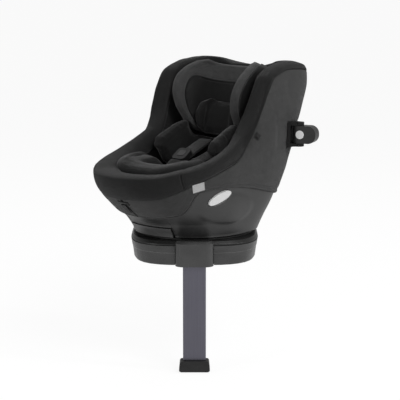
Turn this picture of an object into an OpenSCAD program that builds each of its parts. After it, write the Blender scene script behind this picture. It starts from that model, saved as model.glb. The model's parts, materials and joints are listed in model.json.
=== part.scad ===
// Rotating convertible child car seat on a rigid-anchor base with a folding load leg.
// Row frame: origin midway between the two anchor bars, +Z up, -Y forward, millimetres.

/* [Seat bucket] */
// widest part of the padded bucket, over the shell
shell_w = 426; // [400:2:440]
// front lip to back wall of the shell
shell_len = 653; // [600:5:700]
// lower edge of the shell to the top of the wings
shell_h = 490; // [450:5:540]
// plastic shell wall
shell_t = 4; // [3:0.5:6]
// fabric liner padding thickness
liner_t = 12; // [8:1:16]
// thickness of the padded rim band
band_t = 9; // [6:1:12]
// width of the lip along the wings
lip_w = 56; // [48:1:64]

/* [Base] */
// base width at the rim
base_w = 376; // [350:2:400]
// swivel axis to the front of the base
base_front = 195; // [185:1:205]
// swivel axis to the rear of the base
base_rear = 185; // [178:1:200]
// height of the lower housing
base_h = 57; // [57:1:62]
// housing wall
base_t = 3; // [2.5:0.5:4]
// channel under the base for the folded leg
channel_w = 98; // [96:1:104]

/* [Load leg] */
// leg tube width
leg_w = 66; // [56:1:70]
// leg tube depth
leg_d = 27; // [24:1:28]
// pivot to the underside of the foot, retracted
leg_len = 337; // [300:1:360]
// foot width
foot_w = 89; // [80:1:94]
// foot height
foot_h = 35; // [28:1:40]
// extension of the inner leg
leg_travel = 170; // [120:5:180]

/* [Anchor arms] */
// centre distance of the two anchor bars
bar_pitch = 280; // [270:1:290]
// anchor bar diameter the jaws close on
bar_d = 6; // [5.5:0.1:6.5]
// anchor bars above the base underside
bar_z = 45; // [44:1:46]
// anchor bars behind the swivel axis
bar_y = 300; // [290:1:320]

/* [Motion] */
// seat turned from facing forward
swivel_rest = 42; // [0:1:90]
// fully reclined angle
recline_max = 12; // [6:1:12]
// headrest travel along the backrest
headrest_travel = 110; // [60:5:110]
// push-button travel
button_travel = 3; // [2:0.5:4]

/* [Headrest] */
// width over the wings
headrest_w = 286; // [260:2:290]
// height along the backrest
headrest_h = 222; // [200:2:240]

/* [Hidden] */
// running clearance of pins and shafts on the radius
run = 0.05;
// clearance between stacked pieces
gap = 0.4;
// part list order, one solid group per entry

// heights of the stacked levels above the base underside
plate_z = 47;
ring_z = 53;
table_z = 70;
shell_z0 = 78;
// scale of the bucket tables below
ku = shell_len / 653;
kv = shell_w / 426;
kz = shell_h / 490;
function zz(z) = shell_z0 + (z - 78) * kz;

// bucket outline by height: z, front, rear, half width, centre, front and rear roundness
ST0 = [
  [70, 180, -180, 180, 0, 2.0, 2.2], [120, 212, -180, 188, 10, 2.1, 3.2],
  [160, 262, -186, 195, 20, 2.2, 4.5], [205, 310, -198, 203, 30, 2.2, 5.5],
  [255, 333, -216, 210, 30, 2.2, 6.0], [320, 320, -240, 214, 0, 2.3, 6.0],
  [400, 290, -269, 215, -40, 2.4, 6.0], [480, 250, -302, 213, -80, 2.5, 6.0],
  [530, 220, -317, 208, -100, 2.6, 5.5], [556, 180, -306, 202, -130, 2.6, 5.0],
  [572, 120, -275, 191, -150, 2.6, 4.5]];
ST = [for (r = ST0) [zz(r[0]), r[1] * ku, r[2] * ku, r[3] * kv, r[4] * ku, r[5], r[6]]];
ZI = [for (i = [0 : len(ST) - 1]) [ST[i][0], i / (len(ST) - 1)]];
// per column, front centre to back centre: lower angle, lower z, rim angle, rim z,
// sweep, waist tuck, lip width
COL = [
  [0, 78, 0, 262, 1, 0, 72], [22, 78, 21, 264, 1, 0, 71], [45, 78, 32, 272, 1, 0, 69],
  [68, 78, 46, 281, 1, 0, 65], [86, 78, 64, 293, 1.2, 6, 61], [98, 78, 78, 308, 1.5, 14, 58],
  [107, 78, 84.5, 337, 1.9, 20, 56], [115, 78, 87, 380, 2, 16, 55],
  [122, 78, 86, 426, 2, 8, 54], [129, 79, 85.5, 470, 2, 3, 53],
  [135, 80, 87.5, 508, 1.9, 0, 52], [141, 82, 92, 535, 1.6, 0, 50],
  [147, 84, 101, 550, 1.3, 0, 50], [152, 86, 113, 552, 1.1, 0, 52],
  [157, 88, 127, 550, 1, 0, 58], [163, 90, 143, 544, 1, 0, 70],
  [171, 92, 162, 536, 1, 0, 78], [180, 92, 180, 533, 1, 0, 80]];
// hem of the side fabric: lower angle, height
HEM = [[0, 138], [20, 139], [41, 152], [52, 178], [60, 206], [68, 222], [80, 227],
  [95, 224], [115, 202], [135, 179], [150, 177], [180, 180]];
half_n = 24;
col_n = 2 * half_n;

// smooth curve through a list, s from 0 to 1
function cr4(a, b, c, d, t) = 0.5 * (2 * b + (c - a) * t + (2 * a - 5 * b + 4 * c - d) * t * t
  + (3 * b - a - 3 * c + d) * t * t * t);
function cr(L, s) = let (n = len(L) - 1, x = min(max(s, 0), 1) * n, i = min(floor(x), n - 1))
  cr4(L[max(i - 1, 0)], L[i], L[i + 1], L[min(i + 2, n)], x - i);
function mix(a, b, t) = a + (b - a) * t;
function ease(x) = let (k = min(max(x, 0), 1)) k * k * (3 - 2 * k);
function spow(x, p) = (x < 0 ? -1 : 1) * pow(abs(x), p);

// point of the bucket outline at an angle and height, moved inwards by d
function plan(a, z, d) = let (st = cr(ST, lookup(z, ZI)), c = cos(a), s = sin(a),
  n = mix(st[5], st[6], ease((a - 70) / 40)),
  ru = (c >= 0 ? st[1] - st[4] : st[4] - st[2]) - d,
  r = pow(pow(abs(c) / ru, n) + pow(abs(s) / (st[3] - d), n), -1 / n))
  [s * r, -(st[4] + c * r), z];
// point of the bucket wall: s along the rim, t up the wall, d inwards
function wall_c(c, t, d) = let (k = min(max(t, 0), 1), z0 = zz(c[1]), z1 = zz(c[3]),
  f = t <= 1 ? 1 - pow(1 - k, c[4]) : t)
  plan(c[0] + (c[2] - c[0]) * pow(k, c[4]), z0 + (z1 - z0) * f, d + c[5] * k * k * k);
function wall(s, t, d) = let (p = wall_c(cr(COL, abs(s)), t, d)) [s < 0 ? -p[0] : p[0], p[1], p[2]];
// wall position a distance below (-) or beyond (+) the rim
function at_rim(s, e) = 1 + e * 0.1 / norm(wall(s, 1, 0) - wall(s, 0.9, 0));
// wall position at a height
function at_z(s, z) = let (c = cr(COL, abs(s)), f = (z - zz(c[1])) / (zz(c[3]) - zz(c[1])))
  1 - pow(1 - min(max(f, 0), 1), 1 / c[4]);
// outer wall as its flat facets lie, so pieces on it follow the same planes
TS = [0, 0.07, 0.16, 0.27, 0.4, 0.55, 0.7, 0.84];
function row_t(s, i) = i < len(TS) ? TS[i] : at_rim(s, -9);
function row_at(s, t) = max([0, for (i = [0 : len(TS) - 1]) if (t >= TS[i]) i]);
function facet_c(s, t, d) = let (i = row_at(s, t), a = row_t(s, i), b = row_t(s, i + 1))
  mix(wall(s, a, d), wall(s, b, d), (t - a) / (b - a));
function facet(s, t, d) = let (j = floor(s * half_n), f = s * half_n - j)
  f < 0.001 ? facet_c(s, t, d) : mix(facet_c(j / half_n, t, d), facet_c((j + 1) / half_n, t, d), f);
function lip(s) = cr(COL, abs(s))[6] * lip_w / 56;
function col_s(j) = j <= half_n ? j / half_n : (j - col_n) / half_n;

// seat cavity: k from the lip (0) to the middle of the pan (6), d into the padding
function pan_z(y) = zz(212) + (115 * ku - y) / 340 * 28;
function pan_ring(a, ru, rr, rv) = let (c = cos(a), e = ease((a < 0 ? -a : a) / 90 - 0.5),
  y = -(60 * ku + (c >= 0 ? ru : rr) * ku * spow(c, mix(0.9, 0.28, e))))
  [rv * kv * spow(sin(a), mix(0.95, 0.4, e)), y, 0];
function pan_a(s) = cr(COL, abs(s))[0] * (s < 0 ? -1 : 1);
function lip_in(s, d) = wall(s, at_rim(s, -14), lip(s) - d);
function pan_edge(s, d, m) = let (p = pan_ring(pan_a(s), 165 + m + d, 162 + m + d, 122 + m + d))
  [p[0], p[1], pan_z(p[1]) - d];
function cavity(s, k, d) = let (a = lip_in(s, d), c = pan_edge(s, d, 20), f = pan_edge(s, d, 0),
  w = mix(a, c, 0.84), p = pan_edge(s, d, -75))
  k == 0 ? a : k == 1 ? mix(a, c, 0.33) : k == 2 ? mix(a, c, 0.62) : k == 3 ? w
  : k == 4 ? 0.25 * w + 0.5 * c + 0.25 * f : k == 5 ? f : p;

// closed tube through rings of points, outside counter-clockwise from above, going up
// (strip: the ends are closed across a folded section instead of from a middle point,
// flip: first ring of the inner face, sym: triangles lean the same way on both sides)
module loft(rings, caps = true, strip = false, flip = 1000, sym = false) {
  n = len(rings[0]);
  m = len(rings);
  o = (m - 1) * n;
  sides = [for (i = [0 : m - (caps ? 2 : 1)]) for (j = [0 : n - 1])
    let (i1 = (i + 1) % m, j1 = (j + 1) % n, a = i * n + j, b = i1 * n + j, c = i1 * n + j1,
      d = i * n + j1) each (i < flip) != (sym && j >= n / 2) ? [[a, b, c], [a, c, d]]
      : [[a, b, d], [b, c, d]]];
  ends = strip ? concat([for (j = [0 : n / 2 - 2]) [j, j + 1, n - 2 - j, n - 1 - j]],
    [for (j = [0 : n / 2 - 2]) [o + n - 1 - j, o + n - 2 - j, o + j + 1, o + j]])
    : caps ? concat([for (j = [0 : n - 1]) [m * n, j, (j + 1) % n]],
    [for (j = [0 : n - 1]) [m * n + 1, (m - 1) * n + (j + 1) % n, (m - 1) * n + j]]) : [];
  mids = caps && !strip ? [centre(rings[0]), centre(rings[m - 1])] : [];
  polyhedron(concat([for (r = rings) for (p = r) p], mids), concat(sides, ends), convexity = 8);
}
function centre(r) = [for (k = [0 : 2]) sum([for (p = r) p[k]]) / len(r)];
function sum(v, i = 0) = i < len(v) ? v[i] + sum(v, i + 1) : 0;

// slab between an outer and an inner grid of points, rows going up, columns anticlockwise
module slab(P, Q, lean = 0) {
  n = len(P);
  m = len(P[0]);
  o = n * m;
  faces = concat(
    [for (i = [0 : n - 2]) for (j = [0 : m - 2]) let (a = i * m + j)
      each lean > 0 ? [[a, a + m, a + 1], [a + m, a + m + 1, a + 1]]
      : [[a, a + m, a + m + 1], [a, a + m + 1, a + 1]]],
    [for (i = [0 : n - 2]) for (j = [0 : m - 2]) let (a = o + i * m + j)
      each lean > 0 ? [[a, a + 1, a + m], [a + m, a + 1, a + m + 1]]
      : [[a, a + m + 1, a + m], [a, a + 1, a + m + 1]]],
    [for (j = [0 : m - 2]) [j, j + 1, o + j + 1, o + j]],
    [for (j = [0 : m - 2]) [o - m + j + 1, o - m + j, 2 * o - m + j, 2 * o - m + j + 1]],
    [for (i = [0 : n - 2]) [(i + 1) * m, i * m, o + i * m, o + (i + 1) * m]],
    [for (i = [0 : n - 2]) [i * m + m - 1, (i + 1) * m + m - 1, o + (i + 1) * m + m - 1,
      o + i * m + m - 1]]);
  polyhedron(concat([for (r = P) for (p = r) p], [for (r = Q) for (p = r) p]), faces,
    convexity = 6);
}

// placing: base pieces, turning pieces
module on_base() translate([0, -bar_y, -bar_z]) children();
module on_seat() on_base() rotate([0, 0, -swivel_rest]) children();
module both() { children(); mirror([1, 0, 0]) children(); }
// flat plate in the side plane: outline as (forward, up), thickness along x from x0
module side_plate(x0, t) translate([x0, 0, 0]) rotate([90, 0, 90]) linear_extrude(t)
  mirror([1, 0]) children();
module xrod(x0, x1, u, z, r) translate([x0, -u, z]) rotate([0, 90, 0])
  cylinder(h = x1 - x0, r = r, $fn = 48);
module box(x0, x1, y0, y1, z0, z1) translate([x0, y0, z0]) cube([x1 - x0, y1 - y0, z1 - z0]);
module bar_round(x0, x1, y0, y1, z0, z1, r) translate([0, 0, z0]) linear_extrude(z1 - z0)
  round_rect(x0, x1, y0, y1, r);
module round_rect(x0, x1, y0, y1, r) {
  translate([x0 + r, y0]) square([x1 - x0 - 2 * r, y1 - y0]);
  translate([x0, y0 + r]) square([x1 - x0, y1 - y0 - 2 * r]);
  for (x = [x0 + r, x1 - r], y = [y0 + r, y1 - r]) translate([x, y]) circle(r = r, $fn = 48);
}

// ---------------------------------------------------------------- base
function sup(a, hw, bf, br) = let (c = cos(a), s = sin(a), n = c >= 0 ? 3.3 : 5,
  r = pow(pow(abs(c) / (c >= 0 ? bf : br), n) + pow(abs(s) / hw, n), -1 / n)) [r * s, -r * c];
function base_ring(z, si, fi) = [for (i = [0 : 47])
  let (p = sup(i * 7.5, base_w / 2 - si, base_front - fi, base_rear - fi)) [p[0], p[1], z]];
leg_y = -(base_front + 5);
leg_z = 26.5;
cover_w = channel_w + 12;
screw_at = [[100, -118], [-100, -118], [100, 112], [-100, 112]];
arm_w = 26;
arm_h = 12;

module base_lower_housing() color("#4b4c50") on_base() difference() {
  union() {
    difference() {
      loft([base_ring(0, 12, 8), base_ring(6, 8, 5), base_ring(36, 4, 3),
        base_ring(40, 2.5, 2), base_ring(base_h, 0, 0)]);
      loft([base_ring(base_t, 12 + base_t + 2, 12), base_ring(36, 4 + base_t + 1, 7),
        base_ring(base_h + 1, base_t, base_t)]);
    }
    box(-channel_w / 2 - base_t, channel_w / 2 + base_t, -base_front + 20, base_rear - 16, 0, 44);
    for (p = screw_at) translate([p[0], p[1], 1]) cylinder(h = plate_z - 1.2, r = 6, $fn = 32);
  }
  box(-channel_w / 2, channel_w / 2, -base_front - 5, base_rear + 5, -1, 41);
  box(-cover_w / 2 - 1, cover_w / 2 + 1, -base_front - 5, -base_front + 21, -1, base_h + 2);
  for (x = [-1, 1]) box(x * bar_pitch / 2 - 16, x * bar_pitch / 2 + 16, base_rear - 40,
    base_rear + 5, bar_z - 10, bar_z + 10);
  for (p = screw_at) translate([p[0], p[1], -1]) {
    cylinder(h = 60, r = 2.2, $fn = 32);
    cylinder(h = 4.6, r = 4.8, $fn = 32);
  }
}
module base_upper_housing() color("#26272a") on_base() difference() {
  loft([base_ring(base_h + gap, 2, 2), base_ring(base_h + 5, 2, 3), base_ring(table_z, 7, 10)]);
  loft([base_ring(base_h - 1, 2 + base_t, 2 + base_t + 0.5),
    base_ring(table_z - base_t, 7 + base_t, 10 + base_t)]);
  cylinder(h = 100, r = 168.5, $fn = 96);
}
module base_chassis() color("#7d8084") on_base() difference() {
  union() {
    bar_round(-121, 121, -165, 146, plate_z, ring_z, 20);
    box(-46, 46, leg_y - 11, -150, plate_z, ring_z);
    both() side_plate(leg_w / 2 + 4, 8) {
      translate([-leg_y, leg_z]) circle(r = 11, $fn = 48);
      translate([-leg_y - 11, leg_z]) square([22, plate_z - leg_z + 1]);
    }
    difference() {
      translate([0, 0, ring_z - 0.5]) cylinder(h = 4.5, r = 152, $fn = 96);
      translate([0, 0, ring_z - 1]) cylinder(h = 6, r = 128, $fn = 96);
      box(-200, 200, -200, -75, 50, 60);
    }
    for (x = [-1, 1]) box(x * (bar_pitch / 2 - 1.5) - 19.5, x * (bar_pitch / 2 - 1.5) + 19.5, -60,
      130, bar_z - 11, ring_z + 2);
  }
  for (x = [-1, 1]) box(x * bar_pitch / 2 - arm_w / 2 - 0.2, x * bar_pitch / 2 + arm_w / 2 + 0.2,
    -61, 131, bar_z - arm_h / 2 - 0.2, bar_z + arm_h / 2 + 0.2);
  translate([0, 0, 40]) cylinder(h = 30, r = 58, $fn = 96);
  for (a = [0, 90, 180, 270]) rotate([0, 0, a]) translate([0, -140, 51])
    cylinder(h = 10, r = 5.6, $fn = 48);
  for (p = screw_at) translate([p[0], p[1], 40]) cylinder(h = 20, r = 2.05, $fn = 32);
  xrod(-60, 60, -leg_y, leg_z, 5 + run);
}
module base_screws() color("#b9bcc0") on_base() for (p = screw_at) translate([p[0], p[1], 0.6]) {
  cylinder(h = 3, r = 4.5, $fn = 32);
  cylinder(h = ring_z - 2, r = 2, $fn = 32);
}
module base_pads() color("#1b1c1e") on_base() for (x = [-1, 1], y = [-126, 134])
  translate([x * 118, y, -2]) cylinder(h = 2, r = 15, $fn = 48);
module leg_socket_cover() color("#55565a") on_base() {
  w = cover_w / 2;
  f = base_front + 29;
  difference() {
    union() {
      cover_body(w, f, 24, 2, base_h);
      intersection() {
        union() {
          cover_body(w, f, 24, base_h - 1, 68);
          hull() {
            cover_body(w, f, 24, 67, 68);
            cover_body(w - 6, f - 6, 18, 73, 74);
          }
        }
        box(-w - 1, w + 1, -f - 1, -base_front - 0.5, 50, 80);
      }
    }
    cover_body(w - 3, f - 3, 21, -1, plate_z - 2);
    intersection() {
      cover_body(w - 3.2, f - 3.2, 20.8, plate_z - 4, 71);
      box(-w, w, -f, -base_front - 3.5, 40, 80);
    }
    box(-w - 1, w + 1, -base_front + 16, 0, -5, 80);
    box(-w + 3.4, w - 3.4, -base_front - 4, 0, -5, base_h + 0.5);
  }
}
module cover_body(w, f, r, z0, z1) translate([0, 0, z0]) linear_extrude(z1 - z0) {
  for (x = [r - w, w - r]) translate([x, -f + r]) circle(r = r, $fn = 64);
  translate([-w + r, -f]) square([2 * w - 2 * r, 60]);
  translate([-w, -f + r]) square([2 * w, 60 - r]);
}
module leg_pivot_pin() color("#c4c6c9") on_base() {
  xrod(-leg_w / 2 - 12.6, leg_w / 2 + 12.6, -leg_y, leg_z, 5);
  for (x = [-1, 1]) xrod(x * (leg_w / 2 + 14.4) - 1.9, x * (leg_w / 2 + 14.4) + 1.9, -leg_y, leg_z, 8);
}
race_r = 98;
ball_z = 61.5;
module bearing_ring() color("#9a9da1") on_base() rotate_extrude($fn = 96) difference() {
  translate([race_r - 14, ring_z + 0.05]) square([28, 6.95]);
  translate([race_r, ball_z]) circle(r = 4.06, $fn = 48);
}
module bearing_balls() color("#d5d7da") on_base() for (i = [0 : 19]) rotate([0, 0, i * 18])
  translate([race_r, 0, ball_z]) sphere(r = 4, $fn = 32);

// ---------------------------------------------------------------- anchor arms
module isofix_arm() color("#8f9296") box(bar_pitch / 2 - arm_w / 2, bar_pitch / 2 + arm_w / 2,
  60, bar_y - 34, bar_z - arm_h / 2, bar_z + arm_h / 2);
module isofix_arm_left() on_base() isofix_arm();
module isofix_arm_right() on_base() mirror([1, 0, 0]) isofix_arm();
// jaw block with the notch that seats on the bar, and a slot for the hook
jaw_r = bar_d / 2 + 0.1;
module isofix_jaw() color("#2a2b2e") difference() {
  union() {
    translate([bar_pitch / 2 - 18, 0, 0]) rotate([90, 0, 90]) linear_extrude(36)
      round_rect(bar_y - 62, bar_y + 12, bar_z - 19, bar_z + 19, 9);
  }
  box(bar_pitch / 2 - arm_w / 2 - 0.1, bar_pitch / 2 + arm_w / 2 + 0.1, bar_y - 63, bar_y - 33,
    bar_z - arm_h / 2 - 0.1, bar_z + arm_h / 2 + 0.1);
  xrod(bar_pitch / 2 - 20, bar_pitch / 2 + 20, -bar_y, bar_z, jaw_r);
  box(bar_pitch / 2 - 20, bar_pitch / 2 + 20, bar_y, bar_y + 20, bar_z - jaw_r, bar_z + jaw_r);
  box(bar_pitch / 2 - 5, bar_pitch / 2 + 5, bar_y - 29, bar_y + 20, bar_z - 14, bar_z + 14);
  box(bar_pitch / 2 - 5, bar_pitch / 2 + 5, bar_y - 16, bar_y + 20, bar_z, bar_z + 25);
  xrod(bar_pitch / 2 - 20, bar_pitch / 2 + 20, -bar_y + 20, bar_z + 9, 3 + run);
  box(bar_pitch / 2 - 8.3, bar_pitch / 2 + 8.3, bar_y - 52, bar_y - 36, bar_z + 13, bar_z + 20);
}
module isofix_jaw_left() on_base() isofix_jaw();
module isofix_jaw_right() on_base() mirror([1, 0, 0]) isofix_jaw();
module isofix_hook() color("#b4b7ba") {
  difference() {
    side_plate(bar_pitch / 2 - 4, 8) {
      translate([-bar_y + 20, bar_z + 9]) circle(r = 4.6, $fn = 48);
      difference() {
        translate([-bar_y - 9, bar_z - 6]) square([29, 17.5]);
        translate([-bar_y, bar_z]) circle(r = bar_d / 2 + 0.6, $fn = 48);
        translate([-bar_y - bar_d / 2 - 0.6, bar_z - 20]) square([bar_d + 1.2, 20]);
        translate([-bar_y + bar_d / 2, bar_z - 20]) square([40, 20]);
      }
    }
  }
  xrod(bar_pitch / 2 - 17.6, bar_pitch / 2 + 17.6, -bar_y + 20, bar_z + 9, 3);
}
module isofix_hook_left() on_base() isofix_hook();
module isofix_hook_right() on_base() mirror([1, 0, 0]) isofix_hook();
module isofix_release() color("#8a2f2c") box(bar_pitch / 2 - 8, bar_pitch / 2 + 8, bar_y - 51.6,
  bar_y - 42, bar_z + 13.3, bar_z + 22);
module isofix_release_left() on_base() isofix_release();
module isofix_release_right() on_base() mirror([1, 0, 0]) isofix_release();

// ---------------------------------------------------------------- load leg
foot_z = leg_z - leg_len;
tube_z = foot_z + foot_h + 1;
tube_in = 3;
module leg_tube(w, d, z0, z1, r) bar_round(-w / 2, w / 2, leg_y - d / 2, leg_y + d / 2, z0, z1, r);
module leg_hinge_block() color("#2a2b2e") on_base() difference() {
  union() {
    xrod(-leg_w / 2, leg_w / 2, -leg_y, leg_z, 14);
    box(-leg_w / 2, leg_w / 2, leg_y - 14, leg_y + 14, leg_z - 20, leg_z);
    leg_tube(leg_w - 2 * tube_in - 0.4, leg_d - 2 * tube_in - 0.4, leg_z - 48, leg_z - 10, 4);
  }
  xrod(-leg_w, leg_w, -leg_y, leg_z, 5 + run);
}
module leg_outer_tube() color("#a9a9b2") on_base() difference() {
  leg_tube(leg_w, leg_d, tube_z, leg_z - 20.4, 7);
  leg_tube(leg_w - 2 * tube_in, leg_d - 2 * tube_in, tube_z - 1, leg_z, 4);
  translate([0, leg_y + leg_d / 2 + 1, tube_z + 40]) rotate([90, 0, 0])
    cylinder(h = 8, r = 8 + run, $fn = 48);
}
// flush push button through the rear wall of the outer tube
module leg_lock_button() color("#2a2b2e") on_base()
  translate([0, leg_y + leg_d / 2, tube_z + 40]) rotate([90, 0, 0])
    cylinder(h = 6, r = 8, $fn = 48);
module leg_inner_tube() color("#8e8f98") on_base() difference() {
  leg_tube(leg_w - 2 * tube_in - 1, leg_d - 2 * tube_in - 1, foot_z + 8, leg_z - 52, 3.5);
  leg_tube(leg_w - 2 * tube_in - 6, leg_d - 2 * tube_in - 6, foot_z + 7, leg_z, 2);
  bar_round(-9, 9, leg_y + leg_d / 2 - 9.6, leg_y + leg_d / 2, tube_z + 31,
    tube_z + 49 + leg_travel, 2);
}
module leg_foot() color("#3a3b3f") on_base() difference() {
  translate([0, leg_y + 13, 0]) rotate([90, 0, 0]) linear_extrude(38.5)
    polygon(concat([[-foot_w / 2 + 3, foot_z + 4], [foot_w / 2 - 3, foot_z + 4],
      [foot_w / 2, foot_z + 7]], arc_pts(foot_w / 2 - 2 - 7, foot_z + foot_h - 7, 7, 5, 90),
      arc_pts(-foot_w / 2 + 9, foot_z + foot_h - 7, 7, 90, 175), [[-foot_w / 2, foot_z + 7]]));
  leg_tube(leg_w - 2 * tube_in - 0.9, leg_d - 2 * tube_in - 0.9, foot_z + 7.9, foot_z + 50, 3.5);
}
function arc_pts(x, z, r, a0, a1) = [for (k = [0 : 6]) let (a = mix(a0, a1, k / 6))
  [x + r * cos(a), z + r * sin(a)]];
module leg_foot_sole() color("#1b1c1e") on_base() {
  box(-foot_w / 2 + 5, foot_w / 2 - 5, leg_y - 22, leg_y + 10, foot_z + 2, foot_z + 3.9);
  for (x = [-12, 12]) translate([x, leg_y - 5, foot_z]) cylinder(h = 3, r = 4, $fn = 32);
}

// ---------------------------------------------------------------- turntable and carrier
module turntable() color("#2d2e31") on_base() difference() {
  union() {
    rotate_extrude($fn = 96) difference() {
      union() {
        translate([race_r - 14, 63]) square([28, 4]);
        translate([40, 66]) square([126, 4]);
        translate([160, 66]) square([6, 9]);
        translate([160, 71]) square([17, 4]);
        translate([52, 45]) square([4, 22]);
        translate([52, 44.6]) square([12, 2]);
      }
      translate([race_r, ball_z]) circle(r = 4.06, $fn = 48);
    }
    rotate([0, 0, -swivel_rest]) translate([0, -140, 69]) cylinder(h = 9, r = 9, $fn = 48);
  }
  rotate([0, 0, -swivel_rest]) translate([0, -140, 60]) cylinder(h = 30, r = 5 + run, $fn = 48);
}
// recline hinge and latch, in the side plane
piv_u = -130;
piv_z = 112;
rack_r = 222;
lock_a = -1;
lock_u = piv_u + rack_r * cos(lock_a);
lock_z = piv_z + rack_r * sin(lock_a);
module recline_carrier() color("#5b5d61") on_seat() difference() {
  union() {
    translate([0, 0, table_z + 0.05]) cylinder(h = 5, r = 118, $fn = 96);
    both() {
      side_plate(84, 8) {
        translate([piv_u, piv_z]) circle(r = 14, $fn = 48);
        polygon([[-20, 74], [-74, 74], [-143, 106], [-124, 125], [-70, 98]]);
      }
      side_plate(68, 8) difference() {
        intersection() {
          translate([piv_u, piv_z]) circle(r = rack_r - 4.4, $fn = 96);
          polygon([[30, 74], [100, 74], [100, 157.6], [70, 157.6]]);
        }
        for (k = [0 : 4]) let (a = lock_a + k * 3)
          translate([piv_u + (rack_r - 2) * cos(a), piv_z + (rack_r - 2) * sin(a)])
            circle(r = 4.6, $fn = 32);
      }
    }
  }
  xrod(-120, 120, piv_u, piv_z, 5 + run);
  translate([0, 0, 60]) cylinder(h = 40, r = 45, $fn = 64);
}
module recline_pivot_pin() color("#c4c6c9") on_seat() xrod(-104, 104, piv_u, piv_z, 5);
module swivel_lock_bolt() color("#c4c6c9") on_seat() {
  translate([0, -140, 58.2]) cylinder(h = 27, r = 5, $fn = 48);
  translate([0, -140, 83]) cylinder(h = 4, r = 8, $fn = 48);
}
under_z = 166;
module seat_underframe() color("#5b5d61") on_seat() difference() {
  union() {
    difference() {
      bar_round(-138, 138, -186, 146, 160, under_z, 34);
      bar_round(-60, 60, -80, 90, 150, 170, 15);
    }
    both() {
      box(130, 188.5, -60, 10, 160, under_z);
      side_plate(93.5, 8) {
        translate([piv_u, piv_z]) circle(r = 13, $fn = 48);
        polygon([[-143, 112], [-117, 112], [-100, 161], [-143, 161]]);
      }
      side_plate(80, 6) translate([lock_u - 14, 94]) square([32, 67]);
    }
  }
  xrod(-120, 120, piv_u, piv_z, 5 + run);
  xrod(-120, 120, lock_u, lock_z, 4.1);
  xrod(-120, 120, lock_u + 8, lock_z, 4.1);
  box(-120, 120, -lock_u - 8, -lock_u, lock_z - 4.1, lock_z + 4.1);
}
module recline_lock_bar() color("#c4c6c9") on_seat() xrod(-90, 90, lock_u, lock_z, 4);

// ---------------------------------------------------------------- bucket
function wall_ring(t, d) = [for (j = [0 : col_n - 1]) wall(col_s(j), t, d)];
function rim_ring(e, f, d) = [for (j = [0 : col_n - 1]) let (s = col_s(j))
  wall(s, at_rim(s, e), f * lip(s) + d)];
btn_a = 67.6;
btn_p = plan(btn_a, zz(200), 0);
btn_n = let (a = plan(btn_a + 1, zz(200), 0) - plan(btn_a - 1, zz(200), 0),
  b = plan(btn_a, zz(205), 0) - plan(btn_a, zz(195), 0), c = cross(a, b)) c / norm(c);
module at_button() translate(btn_p)
  rotate([0, acos(btn_n[2]), atan2(btn_n[1], btn_n[0])]) children();
module oval(e) rotate(21) polygon([for (i = [0 : 35])
  [(13.5 + e) * spow(cos(i * 10), 0.9), (40 + e) * spow(sin(i * 10), 0.9)]]);
// recline handle: hinge line behind the shell, panel in a notch of the lower edge
ear_u = 197 * ku;
ear_z = 116;
ear_x = 28;
panel_top = 106.5;
panel_s = 0.062;

module seat_shell() color("#3c3d41") on_seat() {
  difference() {
    union() {
      loft(concat([for (t = TS) wall_ring(t, 0)], [rim_ring(-9, 0, 0), rim_ring(-9, 0, shell_t)],
        [for (i = [len(TS) - 1 : -1 : 0]) wall_ring(TS[i], shell_t)]), false, false,
        len(TS) + 1, true);
      both() side_plate(ear_x + 1, 6) {
        translate([ear_u, ear_z]) circle(r = 7.2, $fn = 48);
        polygon([[ear_u - 4, ear_z], [ear_u + 7.2, ear_z], [ear_u + 15, ear_z + 14],
          [ear_u + 8, ear_z + 14]]);
      }
    }
    box(-77.5, 77.5, -270 * ku, -150 * ku, 60, panel_top + 2.3);
    both() at_button() translate([0, 0, -12]) linear_extrude(24) oval(0.8);
    xrod(-60, 60, ear_u, ear_z, 4 + run);
    adjuster_cut(7);
  }
}
module impact_foam() color("#e3e4e6") on_seat() {
  d = shell_t + 0.8;
  e = liner_t + 1.6;
  difference() {
    intersection() {
      loft(concat([for (t = TS) wall_ring(t, d)], [foam_top(d), rim_ring(-11, 0.45, 0)],
        [for (k = [0 : 6]) cavity_ring(k, e)]), sym = true);
      box(-500, 500, -500, 500, under_z + 0.3, 900);
    }
    both() at_button() translate([0, 0, -16]) linear_extrude(24) oval(2);
    adjuster_cut(24);
  }
}
function foam_top(d) = [for (j = [0 : col_n - 1]) let (s = col_s(j),
  p = facet_c(abs(s), at_rim(s, -11.5), d)) [s < 0 ? -p[0] : p[0], p[1], p[2]]];
function cavity_ring(k, d) = [for (j = [0 : col_n - 1]) cavity(col_s(j), k, d)];
module seat_liner() color("#2c2d30") on_seat() difference() {
  loft(concat([for (k = [6 : -1 : 0]) cavity_ring(k, liner_t)],
    [for (k = [0 : 6]) cavity_ring(k, 0)]), flip = 7, sym = true);
  buckle_cut();
}
function seam_e(s) = lookup(abs(s) * 17, [[0, 62], [1, 59], [2, 50], [3, 30], [4, 14], [5, 9],
  [13, 9], [14, 16], [15, 24], [17, 26]]);
function seam_t(s, e = 0) = at_rim(s, -seam_e(s) - e);
function band_ring(f, d) = [for (j = [0 : col_n - 1]) let (s = col_s(j))
  wall(s, mix(seam_t(s), at_rim(s, -6), f), d)];
function band_back(f, d) = [for (j = [0 : col_n - 1]) let (s = col_s(j), p = facet(abs(s),
  mix(seam_t(s), at_rim(s, -7.5), f), d)) [s < 0 ? -p[0] : p[0], p[1], p[2]]];
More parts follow.
